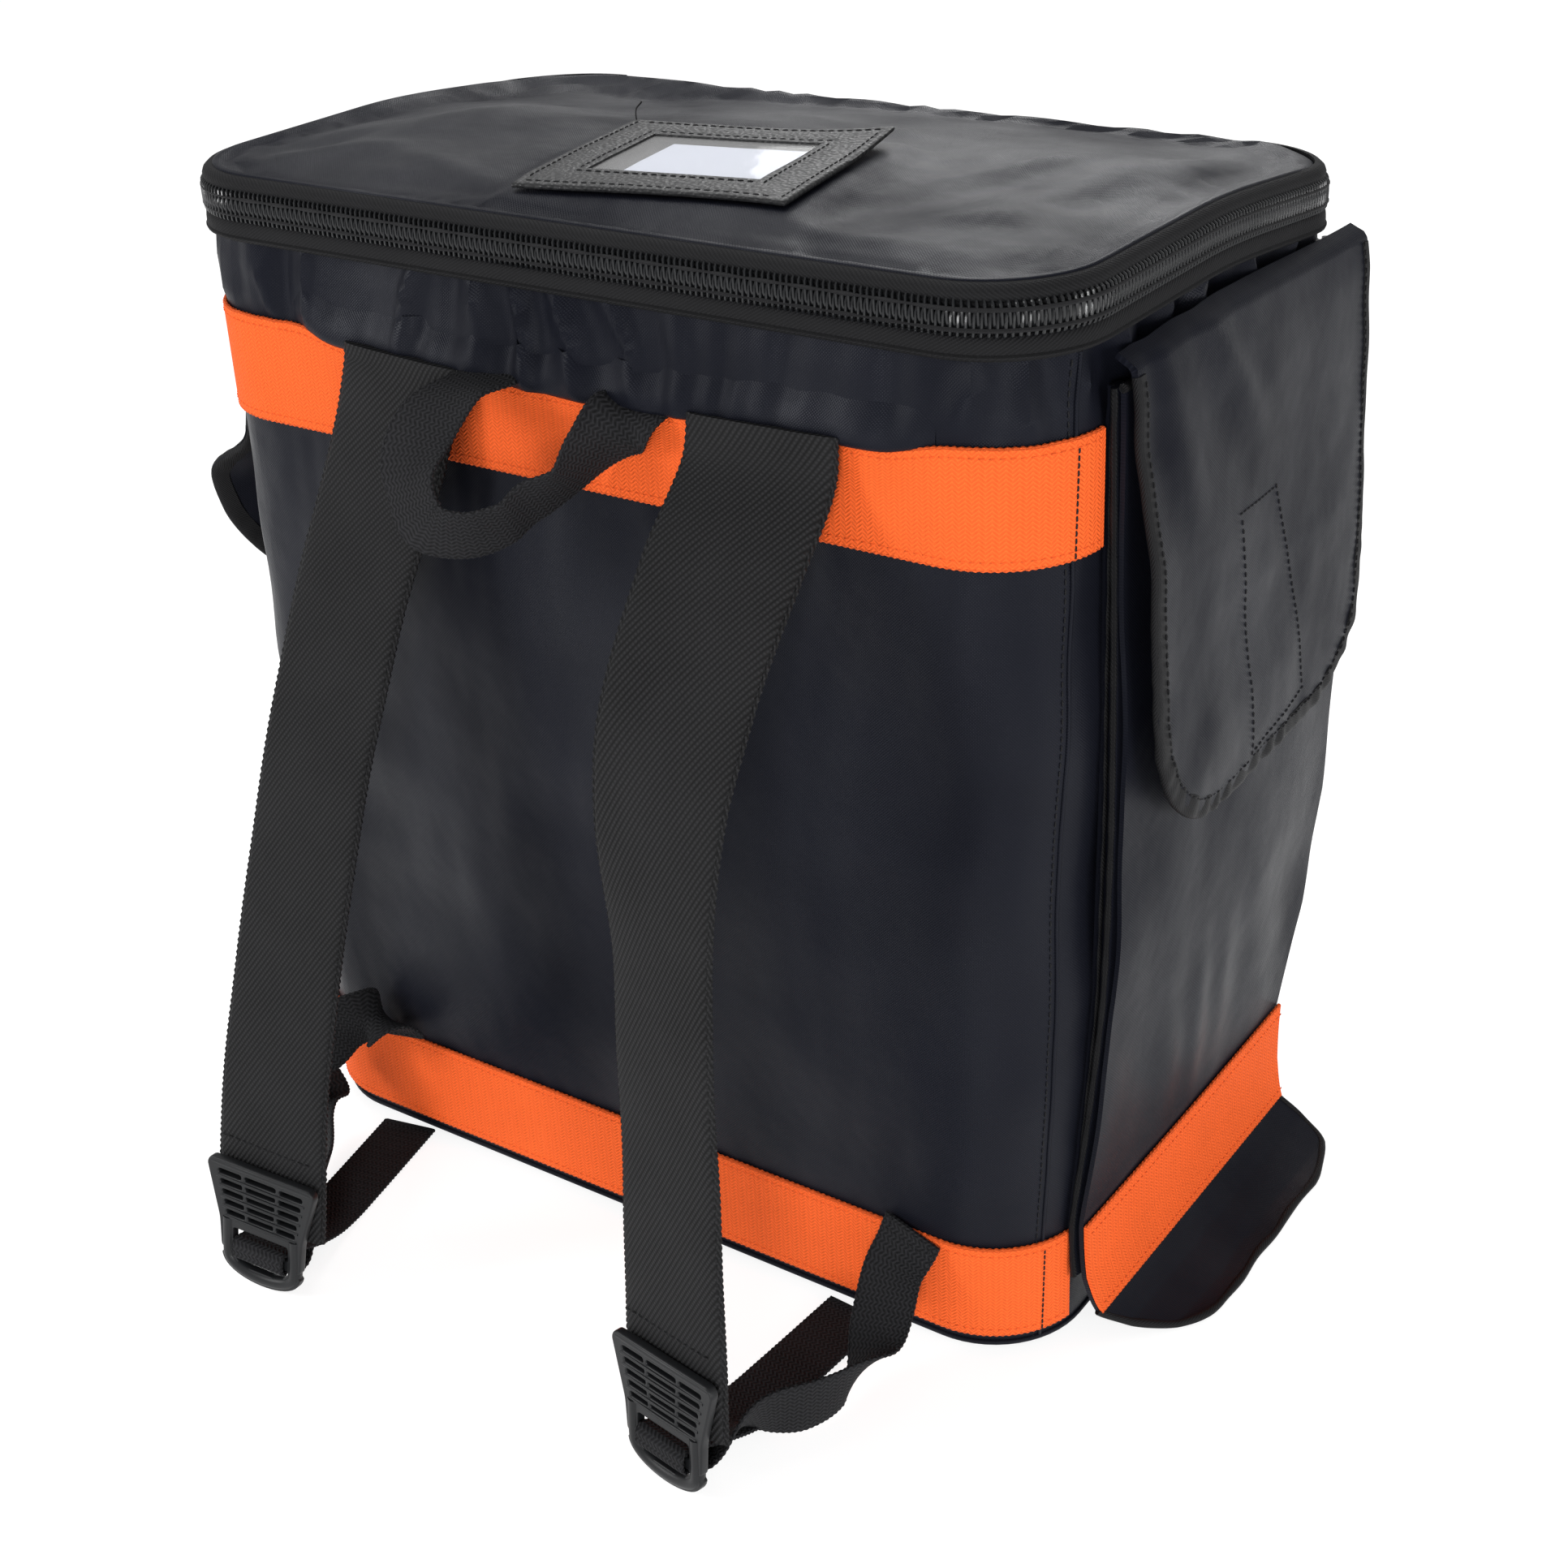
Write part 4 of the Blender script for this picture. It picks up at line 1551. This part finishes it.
def make_bellows(side):
    """The folded gusset between the bag and the pocket, with a bound edge along each fold."""
    rows, t = dense_rows(side)
    depth_along, share = 11 * MM, 0.8
    line = smooth_path(np.array([(u, v, 0) for u, v in FOLD_LINE]), 24)[:, :2]
    for edge, sign, phase in (("near", -1, 1), ("far", 1, 4)):
        grid = []
        for z, out, near, far in rows[t <= BAND_ROW + 1]:
            y = near if edge == "near" else far
            lean = body_side(y - depth_along * share, z) - body_side(y, z)
            seat = body_side(y, z) + 0.7 * MM
            deep = half_width() + out - 1.0 * MM - 0.45 * MM - seat - lean
            wave = 0.6 * MM * math.sin(z / 0.014 + phase) + 0.5 * MM * math.sin(z / 0.037)
            x = seat + line[:, 0] * deep - line[:, 1] * lean / share
            along = sign * (y + line[:, 1] * depth_along) + wave * line[:, 1] * 1.5
            grid.append(together(SIDES[side] * x, along, z))
        grid = np.array(grid)
        thick_sheet(f"pocket_fold_cloth_{edge}_{side}", grid, sheet_uv(grid), 1.2 * MM, "pocket",
                    [f"pocket_fold_{edge}_{side}"])
        cords = [resample(grid[:, k], 3 * MM)[0] for k in FOLD_EDGES]
        cord_piece(f"pocket_fold_edges_{edge}_{side}", cords,
                   lambda run: 1.15 * MM * (1 + 0.12 * np.sin(run / 0.003)), "binding")


# Flap: drop is a share of its length, out of its depth.
FLAP_SECTIONS = [(0, 0.135), (0.02, 0.42), (0.1, 0.53), (0.28, 0.68), (0.57, 0.93), (0.8, 1), (1, 0.97)]
# Radii of its lower corners, how far its near edge swings out, and how far its tip curls up.
FLAP_CORNERS = {"near": 58 * MM, "far": 42 * MM}
FLAP_FLARE = {"left": 12 * MM, "right": 0.0}
FLAP_TIP = {"left": 22 * MM, "right": 0.0}
# Folds that hang from the upper corner: place across, lean, width, and lift in millimetres.
FLAP_FOLDS = [(0.9, -0.25, 0.03, 1.6), (0.8, -0.5, 0.035, -1.3), (0.72, -0.75, 0.03, 1.5),
              (0.62, -0.5, 0.04, -1.0), (0.95, -0.05, 0.02, -1.0)]


# The tape folded over the flap's edge: shares of its width, and heights in about millimetres.
TAPE_TURNS = [(-1, 1.1), (-0.97, 1.45), (-0.6, 1.6), (-0.2, 1.6), (0.02, 1.25), (0.09, 0.5), (0.09, -0.5),
              (0.02, -1.25), (-0.2, -1.6), (-0.6, -1.6), (-0.97, -1.45), (-1, -1.1)]


def flap_span():
    return pocket().flap_near + pocket().flap_far


def tip_lift(side, drop, s):
    """How far the flap's near corner curls away from the bag."""
    return FLAP_TIP[side] * step_up(drop, 0.5, 0.72) * np.asarray(s) ** 7


def flap_share(z):
    """How far down the flap a height is: 0 at its upper edge, 1 at its lowest."""
    p = pocket()
    return np.clip((p.flap_top - z) / p.flap_drop, 0, 1)


def flap_out(side, z, s):
    drop = flap_share(z)
    table = np.array(FLAP_SECTIONS)
    share = np.interp(drop, table[:, 0], table[:, 1])
    lift = FLAP_FLARE[side] * (drop * s) ** 2 + tip_lift(side, drop, s)
    return pocket().flap_out * share * (1 - 0.28 * (1 - s) * np.minimum(drop * 2, 1)) + lift


def flap_creases(side, s, z):
    """How far the flap's cloth stands off its smooth shape."""
    drop = flap_share(z)
    rim = np.minimum(np.minimum(s, 1 - s) * flap_span(), np.abs(z - flap_low(s)))
    low = step_up(drop, 0.45, 0.85)
    drawn = np.exp(-rim / 0.01) * np.sin(s * 95 + 2 * np.sin(drop * 21)) * 0.3 * MM * low
    place = together(s * 0.2, drop * 0.2)
    soft = (patches(place, 0.05, 11 + SIDES[side]) * 1.7 + patches(place, 0.022, 5) * 0.5) * MM
    under = 0.8 * MM * np.sin(drop * 14 + 2.0) * np.exp(-((s - 0.72) / 0.2) ** 2)
    bent = (drawn + soft + under) * step_up(drop, 0.02, 0.2)
    for start, lean, wide, lift in FLAP_FOLDS:
        ridge = np.exp(-((s - start - lean * drop) / (wide + 0.12 * drop)) ** 2)
        bent = bent + ridge * lift * MM * hump(drop, -0.06, 0.42, 0.9)
    return bent


def flap_place(side, s, z, creased=True):
    """Places on the flap. s is 0 at its far edge and 1 at its near one."""
    y = pocket().flap_far - flap_span() * s
    out = flap_out(side, z, s)
    if creased:
        out = out + flap_creases(side, s, z)
    curl = 0.6 * tip_lift(side, flap_share(z), s)
    return together(SIDES[side] * (half_width() + out), y, z - sag(y, z) + curl)


def flap_low(s):
    """Height of the flap's lower edge."""
    p = pocket()
    far = s * flap_span()
    near = flap_span() - far

    def lift(d, r):
        return np.where(d < r, r - np.sqrt(np.maximum(r * r - (r - np.minimum(d, r)) ** 2, 0)), 0)

    bottom = p.flap_top - p.flap_drop
    return bottom + np.maximum(lift(far, FLAP_CORNERS["far"]), lift(near, FLAP_CORNERS["near"]))


def flap_edge():
    """The flap's free edge as (s, z) places, from the far side round the tip to the near side."""
    p = pocket()
    bottom, start = p.flap_top - p.flap_drop, p.flap_top - p.flap_drop * 0.035
    span, far, near = flap_span(), FLAP_CORNERS["far"], FLAP_CORNERS["near"]
    edge = [(0.0, z) for z in np.linspace(start, bottom + far, 22)[:-1]]
    edge += [((far - far * math.cos(a)) / span, bottom + far - far * math.sin(a))
             for a in np.linspace(0, math.pi / 2, 22)]
    edge += [(s, bottom) for s in np.linspace(far / span, 1 - near / span, 14)[1:-1]]
    edge += [(1 - (near - near * math.cos(a)) / span, bottom + near - near * math.sin(a))
             for a in np.linspace(math.pi / 2, 0, 26)]
    edge += [(1.0, z) for z in np.linspace(bottom + near, start, 18)[1:]]
    return np.array(edge)


def flap_normal(side, s, z):
    step = 1.5 * MM
    left, right = (np.clip(s + way * step / flap_span(), 0, 1) for way in (1, -1))
    across = flap_place(side, left, z, False) - flap_place(side, right, z, False)
    down = flap_place(side, s, z - step, False) - flap_place(side, s, z + step, False)
    normal = unit(np.cross(across, down))
    return normal * np.sign(normal[..., :1] * SIDES[side])


def make_flaps():
    p = pocket()
    for side, way in SIDES.items():
        s = 0.5 - 0.5 * np.cos(np.linspace(0, np.pi, 74))
        low = flap_low(s)
        drops = np.concatenate([np.linspace(0, 0.1, 10)[:-1], np.linspace(0.1, 1, 64)])
        z = p.flap_top + (low - p.flap_top)[None, :] * drops[:, None]
        grid = flap_place(side, s[None, :], z)
        uv = together(flap_span() * s[None, :], z)
        thick_sheet(f"flap_cloth_{side}", grid, uv, 2.2 * MM, "pocket", [f"pocket_flap_{side}"],
                    outward=(way, 0, 0))
        # Binding tape folded over the free edge
        edge = flap_edge()
        fine = resample(np.column_stack([edge[:, 0] * flap_span(), edge[:, 1]]), 1.6 * MM)[0]
        es, ez = fine[:, 0] / flap_span(), fine[:, 1]
        middle = flap_place(side, es, ez)
        normal = flap_normal(side, es, ez)
        along = unit(np.gradient(middle, axis=0))
        outer = np.cross(along, normal)
        centre = flap_place(side, np.array(0.5), np.array(p.flap_top - p.flap_drop * 0.4), False)
        flip = np.sign(np.sum(outer * (middle - centre), 1, keepdims=True))
        outer = outer * np.where(flip == 0, 1, flip)
        run = run_of(middle)
        gather = 0.22 * MM * np.sin(run / 0.0019 + 2 * np.sin(run / 0.009))
        bend = hump(run, 0.1, 0.42, 0.5)
        turns = np.array(TAPE_TURNS)
        wide = p.binding * (0.6 + 0.4 * hump(run, 0.1, run[-1] - 0.06, 0.5))
        profile = turns * [p.binding, 1.05 * MM]
        rings = middle[:, None] + outer[:, None] * (wide[:, None] * turns[None, :, 0])[..., None]
        puff = 1 + (gather * bend / MM)[:, None] * 0.8
        rings = rings + normal[:, None] * (profile[None, :, 1] * puff)[..., None]
        uv = together(run[:, None], run_of(profile)[None, :])
        piece = add_piece(f"flap_tape_{side}", rings, tube_faces(len(rings), len(turns)), uv, "binding",
                          [f"flap_binding_{side}"])
        settle_normals(piece)
        # Stitches: along the tape, beside it, and the fastener patch sewn on behind
        lines = [(middle - outer * wide[:, None] * 0.86 + normal * 1.7 * MM, normal)]
        patch = [(0.45, 0.42), (0.297, 0.92), (0.56, 0.95), (0.633, 0.41), (0.45, 0.42)]
        for (s0, d0), (s1, d1) in zip(patch, patch[1:]):
            k = np.linspace(0, 1, 24)
            at_s, at_z = s0 + (s1 - s0) * k, p.flap_top - p.flap_drop * (d0 + (d1 - d0) * k)
            out = flap_normal(side, at_s, at_z)
            lines.append((flap_place(side, at_s, at_z) + out * 1.15 * MM, out))
        stitch_line(f"flap_stitches_{side}", lines, radius=0.36 * MM)


# Front pocket

def tray_ring(inset, y, count=12):
    p = pocket()
    a = p.front_width / 2 - inset
    b = (p.front_top - p.front_bottom) / 2 - inset
    r = max(46 * MM - inset, 4 * MM)
    middle = (p.front_top + p.front_bottom) / 2
    ring = []
    for corner in range(4):
        sx, sz = (1 if corner in (0, 3) else -1), (1 if corner < 2 else -1)
        for i in range(count + 1):
            angle = math.radians(corner * 90 + i * 90 / count)
            ring.append((sx * (a - r) + r * math.cos(angle), y, middle + sz * (b - r) + r * math.sin(angle)))
        nx, nz = ((-1, 0), (0, -1), (1, 0), (0, 1))[corner]
        straight = 2 * ((a - r) if nx else (b - r))
        end = ring[-1]
        ring += [(end[0] + nx * straight * t, y, end[2] + nz * straight * t)
                 for t in np.linspace(0, 1, 25)[1:-1]]
    return np.array(ring)


# The front pocket's outside: how far inside its outline each ring lies, how far out as a share of
# its depth, and how much of the cloth's softness it takes.
TRAY_RINGS = [(0, 0, 0), (0, 0.3, 0.6), (-0.5 * MM, 0.5, 1), (0, 0.7, 0.8), (2 * MM, 0.82, 0.6),
              (6 * MM, 0.91, 0.5), (12 * MM, 0.955, 0.6), (24 * MM, 0.975, 0.8), (40 * MM, 0.985, 1),
              (62 * MM, 0.992, 1), (84 * MM, 0.998, 0.8), (108 * MM, 1.0, 0.3)]


def make_front_pocket():
    b, p = bag(), pocket()
    back = b.depth / 2 + 0.6 * MM
    wall = 2.1 * MM
    rings = []
    for inset, d, amount in TRAY_RINGS:
        ring = tray_ring(inset, back + d * p.front_depth)
        soft = patches(ring[:, [0, 2]], 0.06, 2.0) * 2.2 + patches(ring[:, [0, 2]], 0.025, 4.0) * 0.7
        ring[:, 1] += np.minimum(soft * amount, 0.6) * MM * (d > 0.6)
        rings.append(ring)
    inner = [tray_ring(inset + wall, back + d * p.front_depth - (wall if d > 0 else 0))
             for inset, d in ((108 * MM, 0.98), (60 * MM, 0.96), (12 * MM, 0.92), (0, 0.7), (0, 0))]
    every = np.array(rings[::-1] + inner[::-1])
    count = every.shape[1]
    piece = add_piece("front_pocket_cloth", every, tube_faces(len(every), count), every[..., [0, 2]],
                      "cloth", ["front_pocket"])
    settle_normals(piece)
    rim = tray_ring(-0.3 * MM, back + 0.5 * MM)
    cord_piece("front_pocket_piping", [np.vstack([rim, rim[:1]])], 1.3 * MM, "cloth")
    lip = tray_ring(6 * MM, back + 0.92 * p.front_depth)
    lip = np.vstack([lip, lip[:1]]) + [0, 0.9 * MM, 0]
    stitch_line("front_pocket_stitches", [(lip, np.repeat([[0, 1.0, 0]], len(lip), 0))])
    # Zip over the top and both sides
    low = back + 8 * MM
    ring = tray_ring(0, 0)
    per = count // 4
    middle = np.array([0, 0, (p.front_top + p.front_bottom) / 2])
    path = ring[np.arange(-(per // 2), 2 * per + per // 2 - 4)]
    along = unit(np.gradient(path, axis=0))
    out = unit(np.cross(along, [0, 1.0, 0]))
    out *= np.sign(np.sum(out * (path - middle), 1, keepdims=True))
    tape = [path + out * lift * MM + [0, low + y * MM, 0]
            for y, lift in ((-4, 0.5), (-3, 0.9), (0.4, 1.1), (4, 1.2), (7.6, 1.1), (11, 0.9), (12, 0.5))]
    thick_sheet("front_zip_tape", tape, sheet_uv(tape), 0.9 * MM, "tape", ["front_pocket_zip"])
    centre = path + out * 1.9 * MM + [0, low + 4 * MM, 0]
    at, normal = resample(centre, 1.15 * MM, out)
    t = unit(np.gradient(at, axis=0))
    shape = np.array([(-0.5, -2.9, 0.1), (-0.2, -1.6, 0.9), (0.1, 0.2, 0.95), (0.3, 0.9, 0.3)]) * MM
    for n, way in ((0, 1), (1, -1)):
        tube, _ = tube_rings(shape * [1, way, 1], 0.5 * MM, 5)
        places = [(a, x, (0, 1.0, 0), z) for a, x, z in zip(at[n::2], t[n::2], normal[n::2])]
        scatter(f"front_zip_coil_{n + 1}", tube.reshape(-1, 3), tube_faces(len(shape), 5), places, "coil")
    place = Matrix.Translation((-7.5 * MM, low + 4 * MM, p.front_top + 3.4 * MM))
    make_slider("front_slider", place, ["front_pocket_slider"])


# Studio

# Light panels: name, place, what each faces, its two sizes and its power in watts.
PANELS = [
    ("Top panel", (-0.35, 0.4, 1.6), (0, 0, 0.3), (1.2, 1.0), 15),
    ("Back panel", (-0.7, 1.7, 1.15), (0.1, 0, 0.42), (0.9, 0.45), 6),
    ("Left panel", (-1.2, -1.25, 0.85), (0, 0, 0.3), (0.4, 0.7), 14),
    ("Front panel", (0.75, -1.6, 0.45), (0, 0, 0.25), (0.3, 0.6), 12),
    ("Right panel", (1.6, -0.3, 0.45), (0, 0, 0.2), (0.5, 0.5), 8),
]
# The camera, as it was solved from the photo: focal length in millimetres on a 36 mm sensor, place
# in metres, and turn, rise and roll in degrees.
FOCAL_LENGTH = 54.93
CAMERA_PLACE = (0.5179, -0.7226, 0.6268)
CAMERA_ANGLES = (35.6, 28.2, -2.8)


def area_light(name, place, target, size, power):
    lamp = bpy.data.lights.new(name, "AREA")
    lamp.shape = "RECTANGLE"
    lamp.size, lamp.size_y = size
    lamp.energy = power
    holder = bpy.data.objects.new(name, lamp)
    holder.location = place
    holder.visible_camera = False
    holder.rotation_euler = (Vector(target) - Vector(place)).to_track_quat("-Z", "Y").to_euler()
    bpy.context.scene.collection.objects.link(holder)


def make_stage():
    scene = bpy.context.scene
    floor_mesh = bpy.data.meshes.new("floor")
    half = 6.0
    corners = [(-half, -half, 0), (half, -half, 0), (half, half, 0), (-half, half, 0)]
    floor_mesh.from_pydata(corners, [], [(0, 1, 2, 3)])
    floor = bpy.data.objects.new("floor", floor_mesh)
    scene.collection.objects.link(floor)
    paint = Finish("White floor", colours().floor, 0.6, Emission_Color=(1, 1, 1, 1), Emission_Strength=0.84)
    floor_mesh.materials.append(paint.material)
    world = bpy.data.worlds.new("Studio air")
    world.use_nodes = True
    background = world.node_tree.nodes["Background"]
    background.inputs["Color"].default_value = (1, 1, 1, 1)
    background.inputs["Strength"].default_value = 0.48
    scene.world = world
    for panel in PANELS:
        area_light(*panel)
    scene.view_settings.view_transform = "Standard"
    lens = bpy.data.cameras.new("Photo camera")
    lens.lens, lens.sensor_width, lens.sensor_fit = FOCAL_LENGTH, 36.0, "HORIZONTAL"
    lens.clip_start, lens.clip_end = 0.01, 50
    camera = bpy.data.objects.new("Photo camera", lens)
    scene.collection.objects.link(camera)
    turn, rise, roll = (math.radians(angle) for angle in CAMERA_ANGLES)
    back = Vector((math.sin(turn) * math.cos(rise), -math.cos(turn) * math.cos(rise), math.sin(rise)))
    right = Vector((math.cos(turn), math.sin(turn), 0))
    up = back.cross(right)
    c, s = math.cos(roll), math.sin(roll)
    first = right * c + up * s
    second = -(right * s) + up * c
    frame_matrix = Matrix((first, second, back)).transposed().to_4x4()
    frame_matrix.translation = CAMERA_PLACE
    camera.matrix_world = frame_matrix
    scene.camera = camera


# Operators

class BACKPACK_OT_body(bpy.types.Operator):
    """Build the cloth body with its seams, hems and orange bands"""
    bl_idname = "backpack.body"
    bl_label = "Body and bands"

    def execute(self, context):
        make_body()
        make_bands()
        return {"FINISHED"}


class BACKPACK_OT_lid(bpy.types.Operator):
    """Build the padded lid and its label holder"""
    bl_idname = "backpack.lid"
    bl_label = "Lid and label"

    def execute(self, context):
        make_lid()
        make_label()
        return {"FINISHED"}


class BACKPACK_OT_zip(bpy.types.Operator):
    """Build the coil zip with its tapes, rim and slider"""
    bl_idname = "backpack.zip"
    bl_label = "Lid zip"

    def execute(self, context):
        make_zip()
        return {"FINISHED"}


class BACKPACK_OT_harness(bpy.types.Operator):
    """Build the harness straps, their buckles and webbing"""
    bl_idname = "backpack.harness"
    bl_label = "Harness"

    def execute(self, context):
        make_straps()
        make_buckles()
        make_webbing()
        return {"FINISHED"}


class BACKPACK_OT_loop(bpy.types.Operator):
    """Build the carry loop"""
    bl_idname = "backpack.loop"
    bl_label = "Carry loop"

    def execute(self, context):
        make_loop()
        return {"FINISHED"}


class BACKPACK_OT_side_pockets(bpy.types.Operator):
    """Build the side pockets with their bellows and flaps"""
    bl_idname = "backpack.side_pockets"
    bl_label = "Side pockets"

    def execute(self, context):
        make_side_pockets()
        make_flaps()
        return {"FINISHED"}


class BACKPACK_OT_front_pocket(bpy.types.Operator):
    """Build the zipped pocket on the front"""
    bl_idname = "backpack.front_pocket"
    bl_label = "Front pocket"

    def execute(self, context):
        make_front_pocket()
        return {"FINISHED"}


class BACKPACK_OT_stage(bpy.types.Operator):
    """Set up the floor, lights and camera"""
    bl_idname = "backpack.stage"
    bl_label = "Studio"

    def execute(self, context):
        make_stage()
        return {"FINISHED"}


OPERATORS = (BACKPACK_OT_body, BACKPACK_OT_lid, BACKPACK_OT_zip, BACKPACK_OT_harness, BACKPACK_OT_loop,
             BACKPACK_OT_side_pockets, BACKPACK_OT_front_pocket, BACKPACK_OT_stage)


class BACKPACK_PT_panel(bpy.types.Panel):
    """Buttons for each group of pieces"""
    bl_label = "Tool Backpack"
    bl_idname = "BACKPACK_PT_panel"
    bl_space_type = "VIEW_3D"
    bl_region_type = "UI"
    bl_category = "Backpack"

    def draw(self, context):
        for operator in OPERATORS:
            self.layout.operator(operator.bl_idname)


GROUPS = {"backpack_bag": BackpackBagSizes, "backpack_harness": BackpackHarnessSizes,
          "backpack_pocket": BackpackPocketSizes, "backpack_colours": BackpackColours}


def register():
    for group in GROUPS.values():
        bpy.utils.register_class(group)
    for name, group in GROUPS.items():
        setattr(bpy.types.Scene, name, PointerProperty(type=group))
    for operator in OPERATORS:
        bpy.utils.register_class(operator)
    bpy.utils.register_class(BACKPACK_PT_panel)


def unregister():
    bpy.utils.unregister_class(BACKPACK_PT_panel)
    for operator in reversed(OPERATORS):
        bpy.utils.unregister_class(operator)
    for name in GROUPS:
        delattr(bpy.types.Scene, name)
    for group in reversed(list(GROUPS.values())):
        bpy.utils.unregister_class(group)


def main():
    register()
    for step in ("body", "lid", "zip", "harness", "loop", "side_pockets", "front_pocket", "stage"):
        if getattr(bpy.ops.backpack, step)() != {"FINISHED"}:
            raise RuntimeError(f"{step} did not finish")


if __name__ == "__main__":
    main()
